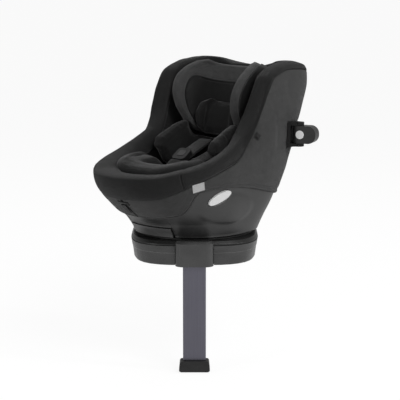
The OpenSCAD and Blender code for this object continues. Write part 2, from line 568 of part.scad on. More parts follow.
// its padding swells along the wings
function puff(s) = band_t * (1 + ease((s - 0.13) / 0.16) - 0.8 * ease((s - 0.58) / 0.14));
function puffed(k, f, d) = [for (j = [0 : col_n - 1]) let (s = col_s(j))
  wall(s, at_rim(s, puff(abs(s)) * k), f * lip(s) + d)];
module rim_cover() color("#2f3033") on_seat() difference() {
  loft([band_back(0, -1.9), band_ring(0.35, -band_t), band_ring(1, -band_t),
    puffed(0.6, 0, -3), puffed(1, 0.3, 0), puffed(0.9, 0.7, 0),
    rim_ring(-4, 1, 1), rim_ring(-13.4, 1, 0.5), rim_ring(-9.8, 1, -liner_t),
    rim_ring(-9.4, 0.45, 0), rim_ring(-7.5, 0, 6), band_back(1, -1.9), band_back(0.75, -1.9),
    band_back(0.5, -1.9), band_back(0.25, -1.9)], false, sym = true);
  adjuster_cut(7);
  head_path();
}
// side fabric from the front centre round to the rear corner
cover_cols = 21;
function hem_t(s) = at_z(s, zz(lookup(abs(pan_a(s)), HEM)));
module side_cover(q) color("#45464a") difference() {
  slab([for (i = [0 : len(TS)]) [for (j = [0 : cover_cols]) cover_pt(q, i, j, -4.6)]],
    [for (i = [0 : len(TS)]) [for (j = [0 : cover_cols]) cover_pt(q, i, j, -1)]], -q);
  edge_cut([for (j = [0 : col_n - 1]) hem_t(col_s(j))], -200, 0.3);
  edge_cut([for (j = [0 : col_n - 1]) seam_t(abs(col_s(j)), 1.6)], 200, 1.5);
  box(-0.6, 0.6, -500, 0, 0, 900);
  mirror([q < 0 ? 1 : 0, 0, 0]) at_button() translate([0, 0, -12]) linear_extrude(30) oval(1.6);
  adjuster_cut(7);
}
function cover_pt(q, i, j, d) = let (s = (q > 0 ? j : j - cover_cols) / half_n)
  wall(s, row_t(abs(s), i), d);
// collar around the wall that trims a cover along one edge: wall positions, rise, spread
module edge_cut(ts, rise, spread) {
  A = [for (j = [0 : col_n - 1]) wall(col_s(j), ts[j], 30)];
  B = [for (j = [0 : col_n - 1]) wall(col_s(j), ts[j], -30)];
  C = [for (p = B) [p[0] * max(spread, 1), p[1] * max(spread, 1), p[2] + rise]];
  D = [for (p = A) [p[0] * min(spread, 0.6), p[1] * min(spread, 0.6), p[2] + rise]];
  if (rise > 0) loft([A, B, C, D], false);
  else loft([D, C, B, A], false);
}
module side_cover_left() on_seat() side_cover(1);
module side_cover_right() on_seat() side_cover(-1);
module spin_button() color("#e9eaec") at_button() {
  translate([0, 0, -9]) linear_extrude(12) oval(0);
  translate([0, 0, -12]) linear_extrude(3.5) oval(-3);
}
module spin_button_left() on_seat() spin_button();
module spin_button_right() on_seat() mirror([1, 0, 0]) spin_button();
module recline_handle() color("#77787c") on_seat() {
  hs = [for (k = [-4 : 4]) k * panel_s / 4];
  hz = [79, 86, 93, 100, panel_top];
  slab([for (z = hz) [for (s = hs) wall(s, at_z(s, z), z < 84 ? -6.5 : -4)]],
    [for (z = hz) [for (s = hs) wall(s, at_z(s, z), 3)]]);
  both() side_plate(ear_x - 11, 6) {
    translate([ear_u - 2, ear_z]) circle(r = 4.6, $fn = 48);
    polygon([[ear_u - 6, ear_z], [ear_u - 1, ear_z - 4], [ear_u - 3, 108], [ear_u - 2.5, 98],
      [ear_u - 6, 93]]);
  }
  xrod(-ear_x - 7, ear_x + 7, ear_u, ear_z, 4);
}

// ---------------------------------------------------------------- adjuster and buckle
adj_z = 190;
module at_adj() translate(plan(0, zz(adj_z), 0)) rotate([45, 0, 0]) children();
module adjuster_cut(d) at_adj() box(-21, 21, -12, d, -8.5, 8.5);
module adjuster_bezel() color("#1c1d1f") on_seat() at_adj() difference() {
  box(-20, 20, -5.5, 9, -7.5, 7.5);
  box(-15, 15, -7, 6, -1, 5.5);
  box(-9, 9, -7, 20, -5.5, -2.5);
}
module adjuster_button() color("#3a3b3e") on_seat() at_adj() box(-14.6, 14.6, -6.6, 2, -0.6, 5.1);
module adjuster_strap() color("#242527") on_seat() at_adj() {
  box(-8, 8, -9, 8, -5, -3);
  box(-8, 8, -9, -7, -40, -3);
}
buckle_u = 112;
module at_buckle() translate([0, -buckle_u, pan_z(-buckle_u) + 27]) rotate([-56, 0, 0]) children();
module buckle_cut() translate([0, -buckle_u, pan_z(-buckle_u)]) box(-20, 20, -1.3, 1.3, -30, 30);
module crotch_strap() color("#242527") on_seat() side_plate(-19, 38)
  translate([buckle_u, pan_z(-buckle_u) + 27]) polygon([[-1, -38], [1, -38], [1, 0.53],
    [-45.86, 32.13], [-46.98, 30.47], [-1, -0.53]]);
module crotch_pad() color("#35363a") on_seat() at_buckle() difference() {
  bar_round(-26, 26, -9, 7, 4, 46, 7);
  box(-19.5, 19.5, -1.3, 1.3, 0, 60);
}
module buckle_housing() color("#202124") on_seat() at_buckle() difference() {
  translate([0, 8, 47]) rotate([90, 0, 0]) linear_extrude(16) round_rect(-25, 25, 0, 48, 12);
  box(-19.6, 19.6, -1.4, 1.4, 40, 57);
  translate([0, -1.4, 72]) rotate([90, 0, 0]) linear_extrude(10) round_rect(-13, 13, -12, 12, 5);
}
module buckle_button() color("#a3271f") on_seat() at_buckle()
  translate([0, -4.2, 72]) rotate([90, 0, 0]) linear_extrude(5.4)
    round_rect(-12.4, 12.4, -11.4, 11.4, 4.6);

// ---------------------------------------------------------------- side pods and tabs
pod_a = 128.7;
pod_z = 357;
module at_pod() translate(plan(pod_a, zz(pod_z), 0)) rotate([0, 0, 20]) children();
pod_r = 19;
pod_x = 30;
pod_l = 56;
pod_key = 8;
module wall_block(z0, z1, d) loft([for (z = [z0 : (z1 - z0) / 8 : z1 + 0.1])
  [for (i = [0 : 71]) plan(i * 5, z, d)]]);
module pod_bracket() color("#1f2023") difference() {
  at_pod() difference() {
    union() {
      translate([0, 0, 0]) rotate([90, 0, 0]) translate([0, 0, -22]) linear_extrude(44)
        polygon([for (i = [-16 : 16]) let (k = abs(i) / 16, e = ease((k - 0.62) / 0.38))
          [mix(pod_x, -12, e), (i < 0 ? -1 : 1) * mix(35 * min(1, k / 0.62), 44, e * e)]]);
      translate([pod_x, 0, -36]) cylinder(h = 72, r = 15, $fn = 48);
    }
    box(pod_x - pod_r - 1, 100, -40, 40, -26.6, 26.6);
    translate([pod_x, 0, -26.6]) cylinder(h = 53.2, r = pod_r + 0.8, $fn = 64);
    translate([pod_x, 0, -50]) cylinder(h = 100, r = 4 + run, $fn = 48);
    difference() {
      box(pod_x, 100, -50, 50, -60, 60);
      translate([pod_x, 0, -50]) cylinder(h = 100, r = 15, $fn = 48);
    }
  }
  wall_block(zz(290), zz(430), -5.5);
}
module side_pod_brackets() on_seat() both() pod_bracket();
module side_pod() color("#3b3c40") at_pod() difference() {
  union() {
    translate([pod_x, 0, -26]) cylinder(h = 52, r = pod_r, $fn = 64);
    translate([pod_x, 0, -34.5]) cylinder(h = 69, r = 4, $fn = 48);
    translate([0, pod_r, 0]) rotate([90, 0, 0]) linear_extrude(2 * pod_r)
      round_rect_right(pod_x, pod_x + pod_l, -26, 26, 24);
  }
  translate([pod_x + pod_key, -pod_r + 6, 0]) rotate([90, 0, 0]) cylinder(h = 10, r = 12.6, $fn = 64);
}
module round_rect_right(x0, x1, y0, y1, r) {
  translate([x0, y0]) square([x1 - x0 - r, y1 - y0]);
  translate([x0, y0 + r]) square([x1 - x0, y1 - y0 - 2 * r]);
  for (y = [y0 + r, y1 - r]) translate([x1 - r, y]) circle(r = r, $fn = 64);
}
module side_pod_left() on_seat() side_pod();
module side_pod_right() on_seat() mirror([1, 0, 0]) side_pod();
module side_pod_button() color("#c9cacc") at_pod()
  translate([pod_x + pod_key, -pod_r + 2.6, 0]) rotate([90, 0, 0]) cylinder(h = 4.4, r = 12.5, $fn = 64);
module side_pod_button_left() on_seat() side_pod_button();
module side_pod_button_right() on_seat() mirror([1, 0, 0]) side_pod_button();
// flat frame on the side fabric: column s, distance e below the rim, d outside the wall
module on_cover(s, e, d) {
  p = facet(s, at_rim(s, -e), -d);
  a = unit(facet(s + 0.012, at_rim(s, -e), -d) - facet(s - 0.012, at_rim(s, -e), -d));
  n = unit(cross(a, facet(s, at_rim(s, -e + 8), -d) - facet(s, at_rim(s, -e - 8), -d)));
  b = cross(n, a);
  multmatrix([[a[0], b[0], n[0], p[0]], [a[1], b[1], n[1], p[1]], [a[2], b[2], n[2], p[2]]])
    children();
}
function unit(v) = v / norm(v);
module harness_holders() color("#17181a") on_seat() both() on_cover(6.8 / 17, 27, 5.4) {
  box(-8, 8, -9, 9, 0, 2.4);
  box(-5.5, 5.5, -6, 6, 2, 5);
}
module sewn_tag() color("#d8d9da") on_seat() on_cover(2.95 / 17, 44, 5.3) box(-19, 19, -12, 12, 0, 0.8);

// ---------------------------------------------------------------- headrest
back_lo = pan_edge(1, 0, 20);
back_hi = lip_in(1, 0);
tilt = atan2(back_hi[1] - back_lo[1], back_hi[2] - back_lo[2]);
head_z0 = zz(330);
head_y0 = back_lo[1] + (head_z0 - back_lo[2]) * tan(tilt) - 7;
module at_head() translate([0, head_y0, head_z0]) rotate([-tilt, 0, 0]) children();
// open-fronted cup section: half width, wing depth, back offset, thickness
function arc(z, w, dep, off, m, q) = [for (i = [-m : m]) let (a = q * i * 90 / m)
  [w * spow(sin(a), 0.66), -dep + (dep - off) * spow(max(cos(a), 0), 0.5), z]];
function cup(z, w, dep, off, th, m) = concat(arc(z, w, dep, off, m, -1),
  arc(z, w - th, dep, off + th, m, 1));
hw = headrest_w / 2;
HR = [[0, 0.74, 58], [18, 0.81, 92], [52, 0.87, 134], [96, 0.93, 156], [142, 0.96, 150],
  [182, 0.93, 122], [208, 0.86, 92], [222, 0.76, 66]];
kh = headrest_h / 222;
module headrest_shell() color("#2a2b2e") on_seat() at_head() {
  loft([for (r = HR) cup(r[0] * kh, hw * r[1], r[2] - 6, 0, 4.4, 10)], strip = true);
  for (x = [-30, 22]) box(x, x + 8, -1, 5.8, 20, headrest_h - 30);
}
module headrest_pad() color("#55565b") on_seat() at_head()
  loft([for (r = HR) cup(r[0] * kh, hw * r[1] - 5.2, r[2] + 4, 5.2, 24, 10)], strip = true);
module head_pillow() color("#3e3f43") on_seat() at_head() loft([
  cup(-6, 62, 62, 31, 16, 8), cup(10, 76, 84, 31, 24, 8), cup(50, 80, 98, 31, 26, 8),
  cup(84, 76, 90, 31, 24, 8), cup(104, 56, 70, 31, 16, 8)], strip = true);
module headrest_handle() color("#1c1d1f") on_seat() at_head() {
  bar_round(-46, 46, -15, -4, headrest_h + 0.5, headrest_h + 8, 4);
}
// path of the headrest up the backrest, kept clear by the rim
module head_path() at_head() loft([for (z = [120, headrest_h + headrest_travel + 10])
  arc(z, hw * 0.97 + 2.4, 150, -6.6, 12, -1)]);
// space of the headrest at its lowest, kept clear by the insert
module head_room() at_head() loft([for (r = [[-9, 0.74, 58], [18, 0.81, 92], [52, 0.87, 134],
  [96, 0.93, 156]]) arc(r[0] * kh, hw * r[1] + 3, r[2] + 8, -9, 10, -1)]);

// ---------------------------------------------------------------- insert and harness
// padded back and bolsters of the body insert, sections by height
function back_y(z) = back_lo[1] + (z - back_lo[2]) * tan(tilt);
function in_cup(z, w, front, th, m) = let (b = -back_y(z)) [for (p = concat(
  [for (i = [m : -1 : -m]) let (a = i * 90 / m)
    [w * spow(sin(a), 0.65), front - (front - b - 1.6) * spow(max(cos(a), 0), 0.5)]],
  [for (i = [-m : m]) let (a = i * 90 / m)
    [(w - th) * spow(sin(a), 0.65), front - (front - b - 8 - th) * spow(max(cos(a), 0), 0.42)]]))
  [p[0], -p[1], z]];
module insert_back() color("#36373b") on_seat() difference() {
  loft([in_cup(zz(250), 106, 6, 22, 8), in_cup(zz(262), 114, 24, 30, 8),
    in_cup(zz(298), 120, 44, 34, 8), in_cup(zz(316), 121, 58, 34, 8),
    in_cup(zz(345), 122, 44, 34, 8), in_cup(zz(378), 116, -22, 30, 8),
    in_cup(zz(392), 104, -64, 22, 8)], strip = true);
  head_room();
}
// seat cushion of the insert with its raised front and side roll
roll_end = 90;
function roll_ring(i, m) = let (a = mix(-roll_end, roll_end, i / m), c = cos(a), s = sin(a),
  u = 52 + 157 * spow(c, 0.68), v = 116 * spow(s, 0.72), e = pow(abs(a) / 118, 2),
  zc = zz(mix(263, 284, ease(abs(a) / 70)) - 26 * max(0, abs(a) - 80) / 38),
  rr = mix(25, 17, e), n = [v / 116 / 116, (u - 52) / 157 / 157], k = n / norm(n))
  [for (j = [0 : 11]) let (b = -j * 30) [v + k[0] * rr * cos(b), -(u + k[1] * rr * cos(b)),
    zc + rr * 0.96 * sin(b)]];
module insert_seat() color("#3f4044") on_seat() difference() {
  union() {
    loft([for (i = [0 : 20]) roll_ring(i, 20)]);
    loft([for (r = [[14, 0.6], [8, 6], [12, 17], [22, 21]]) [for (i = [0 : 31])
      let (p = pan_ring(i * 11.25, 159 - r[0], 162 - r[0], 120 - r[0]))
      [p[0], p[1], pan_z(p[1]) + r[1]]]]);
  }
  translate([0, -buckle_u, pan_z(-buckle_u)]) box(-20, 20, -1.3, 1.3, -10, 60);
}
// shoulder pads down the insert, webbing to the buckle
function strap_path(t) = let (p = cr([[39, -101.5, 326.5], [41.5, -74, 315], [44, -38, 299.5],
  [38, 8, 284], [30, 48, 275], [24, 80, 265.5]], t)) [p[0], p[1], zz(p[2])];
module ribbon(t0, t1, w, h, m) loft([for (i = [0 : m]) let (t = mix(t0, t1, i / m),
  p = strap_path(t), q = strap_path(t + 0.01) - strap_path(t - 0.01), f = q / norm(q),
  n = cross([1, 0, 0], [0, -f[1], f[2]]))
  [for (c = [[-w, -h], [-w, h], [w, h], [w, -h]])
    [p[0] + c[0], -p[1] + n[1] * c[1], p[2] + n[2] * c[1]]]]);
module shoulder_pads() color("#37383c") on_seat() both() ribbon(0.04, 0.74, 27, 7, 8);
module harness_webbing() color("#242527") on_seat() both() ribbon(0.75, 0.97, 19, 1, 5);

// ---------------------------------------------------------------- show
base_lower_housing();
base_upper_housing();
base_chassis();
base_screws();
base_pads();
leg_socket_cover();
leg_pivot_pin();
bearing_ring();
bearing_balls();
isofix_arm_left();
isofix_arm_right();
isofix_jaw_left();
isofix_jaw_right();
isofix_hook_left();
isofix_hook_right();
isofix_release_left();
isofix_release_right();
leg_hinge_block();
leg_outer_tube();
leg_lock_button();
leg_inner_tube();
leg_foot();
leg_foot_sole();
turntable();
recline_carrier();
recline_pivot_pin();
swivel_lock_bolt();
seat_shell();
seat_underframe();
recline_lock_bar();
recline_handle();
impact_foam();
seat_liner();
rim_cover();
side_cover_left();
side_cover_right();
spin_button_left();
spin_button_right();
side_pod_brackets();
side_pod_left();
side_pod_right();
side_pod_button_left();
side_pod_button_right();
harness_holders();
insert_back();
insert_seat();
crotch_pad();
crotch_strap();
buckle_housing();
buckle_button();
shoulder_pads();
harness_webbing();
adjuster_bezel();
adjuster_button();
adjuster_strap();
sewn_tag();
headrest_shell();
headrest_pad();
head_pillow();
headrest_handle();
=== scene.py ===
"""A rotating child car seat on its anchor base with a load leg: the finished look over the CAD frame."""
import bpy, bmesh, json, math
import numpy as np
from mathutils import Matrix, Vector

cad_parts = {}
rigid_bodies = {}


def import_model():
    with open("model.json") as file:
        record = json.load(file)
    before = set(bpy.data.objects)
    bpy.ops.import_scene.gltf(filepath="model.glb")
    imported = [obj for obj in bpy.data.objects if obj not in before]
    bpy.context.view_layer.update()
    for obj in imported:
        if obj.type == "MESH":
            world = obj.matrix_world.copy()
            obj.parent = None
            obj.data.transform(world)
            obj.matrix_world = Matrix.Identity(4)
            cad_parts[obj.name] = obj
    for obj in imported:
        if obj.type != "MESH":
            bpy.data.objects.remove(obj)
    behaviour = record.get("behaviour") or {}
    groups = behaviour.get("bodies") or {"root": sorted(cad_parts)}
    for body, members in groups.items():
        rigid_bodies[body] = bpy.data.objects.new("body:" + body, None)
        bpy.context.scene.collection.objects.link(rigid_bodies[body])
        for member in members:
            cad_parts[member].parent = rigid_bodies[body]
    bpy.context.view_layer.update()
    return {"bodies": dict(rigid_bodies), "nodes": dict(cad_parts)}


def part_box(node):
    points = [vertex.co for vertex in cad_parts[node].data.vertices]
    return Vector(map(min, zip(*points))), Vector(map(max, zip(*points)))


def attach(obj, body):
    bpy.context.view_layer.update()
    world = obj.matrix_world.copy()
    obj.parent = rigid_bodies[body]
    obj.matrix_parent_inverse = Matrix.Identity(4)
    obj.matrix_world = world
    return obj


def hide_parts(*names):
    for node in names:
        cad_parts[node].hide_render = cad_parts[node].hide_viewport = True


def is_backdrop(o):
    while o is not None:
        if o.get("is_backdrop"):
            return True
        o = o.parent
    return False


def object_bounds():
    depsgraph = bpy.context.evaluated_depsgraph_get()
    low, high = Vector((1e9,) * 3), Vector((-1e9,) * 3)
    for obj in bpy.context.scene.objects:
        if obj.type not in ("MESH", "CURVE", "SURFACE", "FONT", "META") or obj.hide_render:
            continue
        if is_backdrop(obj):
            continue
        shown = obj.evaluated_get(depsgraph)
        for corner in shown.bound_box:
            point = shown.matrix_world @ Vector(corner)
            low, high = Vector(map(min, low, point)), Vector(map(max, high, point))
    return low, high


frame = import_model()
scene = bpy.context.scene
scene.view_settings.view_transform = "Standard"

# ---------------------------------------------------------------- studio
# The seat stands with its load leg on a plain pale floor, under two large square lights and two upright
# strips. The floor glows almost white to the camera and faintly in reflections, and keeps a soft part of
# the seat's shadow.
AIM = np.array([0.016, -0.300, 0.112])
LIFT = math.radians(10)
CAMERA_AWAY = 4.0
camera = bpy.data.objects.new("camera", bpy.data.cameras.new("camera"))
camera.location = AIM + CAMERA_AWAY * np.array([0, -math.cos(LIFT), math.sin(LIFT)])
camera.rotation_euler = (math.pi / 2 - LIFT, 0, 0)
camera.data.lens, camera.data.sensor_width, camera.data.clip_end = 120.6, 36, 200
scene.collection.objects.link(camera)
scene.camera = camera

LIGHTS = {"key_light": ((1.5, -2.5, 2.8), 1.7, 1.7, 36), "left_light": ((-2.4, -2.2, 0.9), 0.35, 1.6, 9),
          "right_light": ((2.9, -1.4, 1.6), 0.40, 1.6, 18), "back_light": ((-0.2, 2.3, 2.7), 1.6, 1.6, 9)}
for label, (place, wide, tall, watts) in LIGHTS.items():
    lamp = bpy.data.lights.new(label, "AREA")
    lamp.shape, lamp.size, lamp.size_y, lamp.energy = "RECTANGLE", wide, tall, watts
    holder = bpy.data.objects.new(label, lamp)
    away = np.array(place) - AIM
    holder.location = place
    holder.rotation_euler = (math.atan2(math.hypot(away[0], away[1]), away[2]), 0,
                             math.atan2(away[1], away[0]) + math.pi / 2)
    scene.collection.objects.link(holder)


class Socket:
    """One value of a material; + - * / > < on it add Math nodes, and math() any other operation."""

    def __init__(self, finish, out):
        self.finish, self.out = finish, out

    def math(self, operation, *others):
        return self.finish.node("Math", {"operation": operation}, self, *others)[0]

    def __add__(self, b):
        return self.math("ADD", b)

    def __radd__(self, b):
        return self.math("ADD", b)

    def __sub__(self, b):
        return self.math("SUBTRACT", b)

    def __rsub__(self, b):
        return self.finish.node("Math", {"operation": "SUBTRACT"}, b, self)[0]

    def __mul__(self, b):
        return self.math("MULTIPLY", b)

    def __truediv__(self, b):
        return self.math("DIVIDE", b)

    def __gt__(self, b):
        return self.math("GREATER_THAN", b)

    def __lt__(self, b):
        return self.math("LESS_THAN", b)

    def wave(self, period):
        """A sine that crosses zero once in every period."""
        return (self * (math.pi / period)).math("SINE")

    def size(self):
        return self.math("ABSOLUTE")

    def part(self, period):
        """How far through its period the value is, from 0 to 1."""
        return (self / period).math("FRACT")

    def within(self, low, high):
        """0 below low, 1 above high and an S-curve between."""
        smooth = {"interpolation_type": "SMOOTHSTEP"}
        return self.finish.node("MapRange", smooth, self, low, high, 0.0, 1.0)[0]


class Nodes:
    """The nodes of a material or of the world."""

    def __init__(self, tree):
        self.tree = tree

    def node(self, kind, settings=None, *values, **named):
        """Adds a shader node, its inputs set or linked by place or by name; returns its outputs."""
        made = self.tree.nodes.new("ShaderNode" + kind)
        for key, value in (settings or {}).items():
            setattr(made, key, value)
        for key, value in [*enumerate(values), *((k.replace("_", " "), v) for k, v in named.items())]:
            if isinstance(value, Socket):
                self.tree.links.new(value.out, made.inputs[key])
            elif value is not None:
                made.inputs[key].default_value = value
        return [Socket(self, out) for out in made.outputs]

    def seen_share(self, glossy, lighting, seen):
        """A value for the kind of ray: seen for the camera and through glass, lighting for the light that
        falls on the object, and between the two in reflections."""
        rays = self.node("LightPath")
        looked_at = (rays[0] + rays[3] * glossy + rays[6]).math("MINIMUM", 1.0)
        return self.node("Mix", {"data_type": "FLOAT"}, looked_at, None, lighting, seen)[0]


class Finish(Nodes):
    """A material on the Principled shader. Constants go on the shader's own sockets."""

    def __init__(self, name, **constants):
        self.material = bpy.data.materials.new(name)
        self.material.use_nodes = True
        super().__init__(self.material.node_tree)
        self.shader = self.tree.nodes["Principled BSDF"]
        for socket, value in constants.items():
            self.shader.inputs[socket.replace("_", " ")].default_value = value

    def blend(self, factor, a, b):
        """Colour a where factor is 0 and b where it is 1."""
        made = self.node("Mix", {"data_type": "RGBA"}, factor, None, None, None, None, None, a, b)
        return made[2]

    def noise(self, place, scale, detail=2.0, stretch=None):
        """Cloudy noise from 0 to 1, with the place stretched first along each axis."""
        if stretch is not None:
            place = self.node("Mapping", None, place, None, None, stretch)[0]
        return self.node("TexNoise", None, Vector=place, Scale=scale, Detail=detail)[0]

    def bump(self, height, distance, under=None):
        """A normal that tilts with the height, over another normal where one is given."""
        return self.node("Bump", None, Strength=1.0, Distance=distance, Height=height, Normal=under)[0]

    def paint(self, **links):
        """Links values to the shader's own sockets; returns the finished material."""
        for socket, value in links.items():
            self.tree.links.new(value.out, self.shader.inputs[socket.replace("_", " ")])
        return self.material


def tone(*levels):
    """A display grey or colour, 0 to 255, as the linear colour of a shader."""
    rgb = [x / 255 for x in (levels * 3 if len(levels) == 1 else levels)]
    return tuple(x / 12.92 if x < 0.04045 else ((x + 0.055) / 1.055) ** 2.4 for x in rgb) + (1.0,)


FLOOR_SIDE, FLOOR_BACK = 60, 90
floor_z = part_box("leg_foot_sole")[0].z
floor_mesh = bpy.data.meshes.new("floor")
floor_mesh.from_pydata([(-FLOOR_SIDE, -FLOOR_SIDE, floor_z), (FLOOR_SIDE, -FLOOR_SIDE, floor_z),
                        (FLOOR_SIDE, FLOOR_BACK, floor_z), (-FLOOR_SIDE, FLOOR_BACK, floor_z)],
                       [], [(0, 1, 2, 3)])
floor = bpy.data.objects.new("floor", floor_mesh)
scene.collection.objects.link(floor)
floor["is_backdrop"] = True
pale = Finish("floor_paint", Base_Color=(0.86, 0.86, 0.86, 1), Roughness=0.9, Specular_IOR_Level=0.0)
glow = pale.node("Emission", None, (1, 1, 1, 1), 1.18)[0]
glow_share = pale.seen_share(0.3, 0.0, 0.75)
mixed = pale.node("MixShader", None, glow_share, Socket(pale, pale.shader.outputs[0]), glow)[0]
pale.tree.links.new(mixed.out, pale.tree.nodes["Material Output"].inputs[0])
floor_mesh.materials.append(pale.material)

world = bpy.data.worlds.new("studio")
scene.world = world
world.use_nodes = True
sky = Nodes(world.node_tree)
background = sky.tree.nodes["Background"]
background.inputs["Color"].default_value = (1, 1, 1, 1)
sky.tree.links.new(sky.seen_share(0.15, 0.30, 1.0).out, background.inputs["Strength"])

# ---------------------------------------------------------------- base housings
# Two injection-moulded polypropylene shells, the lower one grey and eroded to a fine matt grain, the
# dark ring above it closing round the turntable. Both are screwed to the chassis from underneath.


def moulded(name, level, rough, grain=0.00006, mottle=0.10, spec=0.3, tint=(1, 1, 1), crease=None):
    """Moulded plastic: spark-eroded grain, faint flow marks and light handling scuffs in the gloss; crease is
    the height of a fine step where the two halves of the mould met, bumped into the normal with a painted
    highlight line along it."""
    f = Finish(name, Specular_IOR_Level=spec)
    place = f.node("TexCoord")[3]
    fine = f.noise(place, 2600, 3.0)
    flow = f.noise(place, 14.0, 3.0, (1.0, 1.0, 2.2))
    scuff = f.noise(place, 90.0, 5.0, (1.0, 1.0, 0.25)).within(0.60, 0.72)
    darker, lighter = ([c * k for c, k in zip(tone(level * g)[:3], tint)] + [1]
                       for g in (1 - mottle, 1 + mottle))
    colour = f.blend(flow.within(0.3, 0.7), darker, lighter)
    colour = f.blend(fine.within(0.35, 0.75) * 0.35, colour, tone(min(level * 1.35, 255)))
    normal = f.bump(fine, grain)
    if crease is not None:
        height = f.node("SeparateXYZ", None, place)[2]
        # Painted highlight: a thin line twice as light as the plastic runs along the crease height, standing
        # in for the light the step catches.
        lip = (height - crease).size().within(0.0, 0.0013)
        colour = f.blend((1 - lip) * 0.9, colour, tone(level * 2.1))
        normal = f.bump((height - crease).within(-0.0008, 0.0008), 0.0012, under=normal)
    gloss = rough + (flow - 0.5) * 0.10 + scuff * 0.10 + (fine - 0.5) * 0.12
    return f.paint(Base_Color=colour, Roughness=gloss, Normal=normal)


def dress(node, material, angle=32, bevel=0.0007, segments=2):
    """A finished copy of a CAD solid: welded, its flat facets joined, long edges broken by a small radius."""
    cad = frame["nodes"][node]
    mesh = cad.data.copy()
    mesh.name = node + "_made"
    weld = bmesh.new()
    weld.from_mesh(mesh)
    bmesh.ops.remove_doubles(weld, verts=weld.verts, dist=2e-6)
    bmesh.ops.dissolve_limit(weld, angle_limit=0.012, verts=weld.verts, edges=weld.edges)
    weld.to_mesh(mesh)
    weld.free()
    mesh.materials.clear()
    mesh.materials.append(material)
    mesh.polygons.foreach_set("use_smooth", np.ones(len(mesh.polygons), bool))
    mesh.set_sharp_from_angle(angle=math.radians(angle))
    piece = bpy.data.objects.new(node + "_finished", mesh)
    scene.collection.objects.link(piece)
    if bevel:
        edge = piece.modifiers.new("edge_radius", "BEVEL")
        edge.width, edge.segments, edge.limit_method = bevel, segments, "ANGLE"
        edge.angle_limit, edge.harden_normals = math.radians(angle), True
    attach(piece, body_of[node])
    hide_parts(node)
    return piece


def coat(node, material):
    """A CAD solid that stays as it is, with a finished material."""
    slots = frame["nodes"][node].data.materials
    slots.clear()
    slots.append(material)


body_of, slot_of = {}, {}
for n, cad in frame["nodes"].items():
    body_of[n] = next(b for b, empty in frame["bodies"].items() if cad.parent is empty)
    slot_of[n] = cad.data.materials[0].name if cad.data.materials else ""

base_grey = moulded("base_grey_plastic", 66, 0.28, spec=0.6, crease=-0.009)
ring_black = moulded("ring_black_plastic", 27, 0.36, spec=0.5)
dress("base_lower_housing", base_grey, angle=42, bevel=0.0020, segments=3)
dress("base_upper_housing", ring_black, angle=26, bevel=0.0012)

# ---------------------------------------------------------------- base steelwork
# A pressed steel plate stiffens the base, zinc plated; machine screws, the hinge pin of the leg, the
# hardened ball race and its balls are bright steel. Rubber pads keep the base from sliding on the car seat.


def plated(name, level, rough, streak=(1, 1, 1), scale=120.0):
    """Plated or rolled steel: cloudy crystal flakes, rolling streaks and a dulled finish."""
    f = Finish(name, Metallic=1.0)
    place = f.node("TexCoord")[3]
    flakes = f.node("TexVoronoi", None, Vector=place, Scale=scale)[1]
    flake = f.node("SeparateColor", None, flakes)[0]
    lines = f.noise(place, 60.0, 4.0, streak)
    return f.paint(Base_Color=f.blend(flake * 0.5 + lines * 0.5, tone(level * 0.9), tone(level * 1.08)),
                   Roughness=rough + (lines - 0.5) * 0.16 + flake * 0.04, Normal=f.bump(lines, 0.00003))


def rubbery(name, level):
    """Moulded rubber: dull, with a fine pebbled skin and a dusty bloom."""
    f = Finish(name, Specular_IOR_Level=0.25)
    place = f.node("TexCoord")[3]
    pebble = f.node("TexVoronoi", None, Vector=place, Scale=900.0)[0]
    dust = f.noise(place, 40.0, 4.0).within(0.45, 0.75)
    return f.paint(Base_Color=f.blend(dust * 0.5, tone(level), tone(level + 16)),
                   Roughness=0.82 + dust * 0.08, Normal=f.bump(pebble, 0.00008))


zinc = plated("zinc_steel", 150, 0.42)
bright = plated("bright_steel", 196, 0.24, (8, 8, 1), 20.0)
rubber = rubbery("black_rubber", 26)
dress("base_chassis", zinc)
dress("base_screws", bright, bevel=0)
dress("base_pads", rubber, bevel=0.0006)
for n in ("leg_pivot_pin", "bearing_ring", "bearing_balls"):
    coat(n, bright)

# ---------------------------------------------------------------- anchor arms
# Two flat steel arms slide out of the base at the back. Each ends in a moulded jaw with a sprung steel
# hook that closes over the car's anchor bar, and a red release key on top.
jaw_black = moulded("jaw_black_plastic", 36, 0.45)
key_red = moulded("release_red_plastic", 120, 0.36, tint=(1.0, 0.12, 0.09), mottle=0.04)
for side in ("left", "right"):
    dress("isofix_arm_" + side, zinc)
    dress("isofix_jaw_" + side, jaw_black, bevel=0.0012)
    dress("isofix_hook_" + side, bright, bevel=0.0004)
    dress("isofix_release_" + side, key_red, bevel=0.0008)

# ---------------------------------------------------------------- load leg
# Extruded aluminium tubes with rounded corners, satin anodised, the inner one sliding in the outer; a
# moulded socket cover hides the hinge, and a moulded foot with a rubber sole stands on the car's floor.
f = Finish("anodised_tube", Metallic=0.85, Specular_IOR_Level=0.5)
place = f.node("TexCoord")[3]
draw = f.noise(place, 700.0, 3.0, (1.0, 1.0, 0.012))
cloud = f.noise(place, 9.0, 3.0)
anodised = f.paint(Base_Color=f.blend(draw * 0.6 + cloud * 0.4, tone(98, 97, 107), tone(130, 129, 140)),
                   Roughness=0.40 + (draw - 0.5) * 0.22 + (cloud - 0.5) * 0.1, Normal=f.bump(draw, 0.00004))
cover_grey = moulded("cover_grey_plastic", 60, 0.24, spec=0.8)
foot_grey = moulded("foot_grey_plastic", 47, 0.5)
dress("leg_socket_cover", cover_grey, bevel=0.0090, segments=6)
dress("leg_hinge_block", jaw_black, bevel=0.0015)
dress("leg_outer_tube", anodised, angle=24, bevel=0.0006)
dress("leg_inner_tube", anodised, angle=24, bevel=0.0005)
dress("leg_lock_button", jaw_black, bevel=0.0012)
dress("leg_foot", foot_grey, bevel=0.0018, segments=3)
dress("leg_foot_sole", rubber, bevel=0.0006)

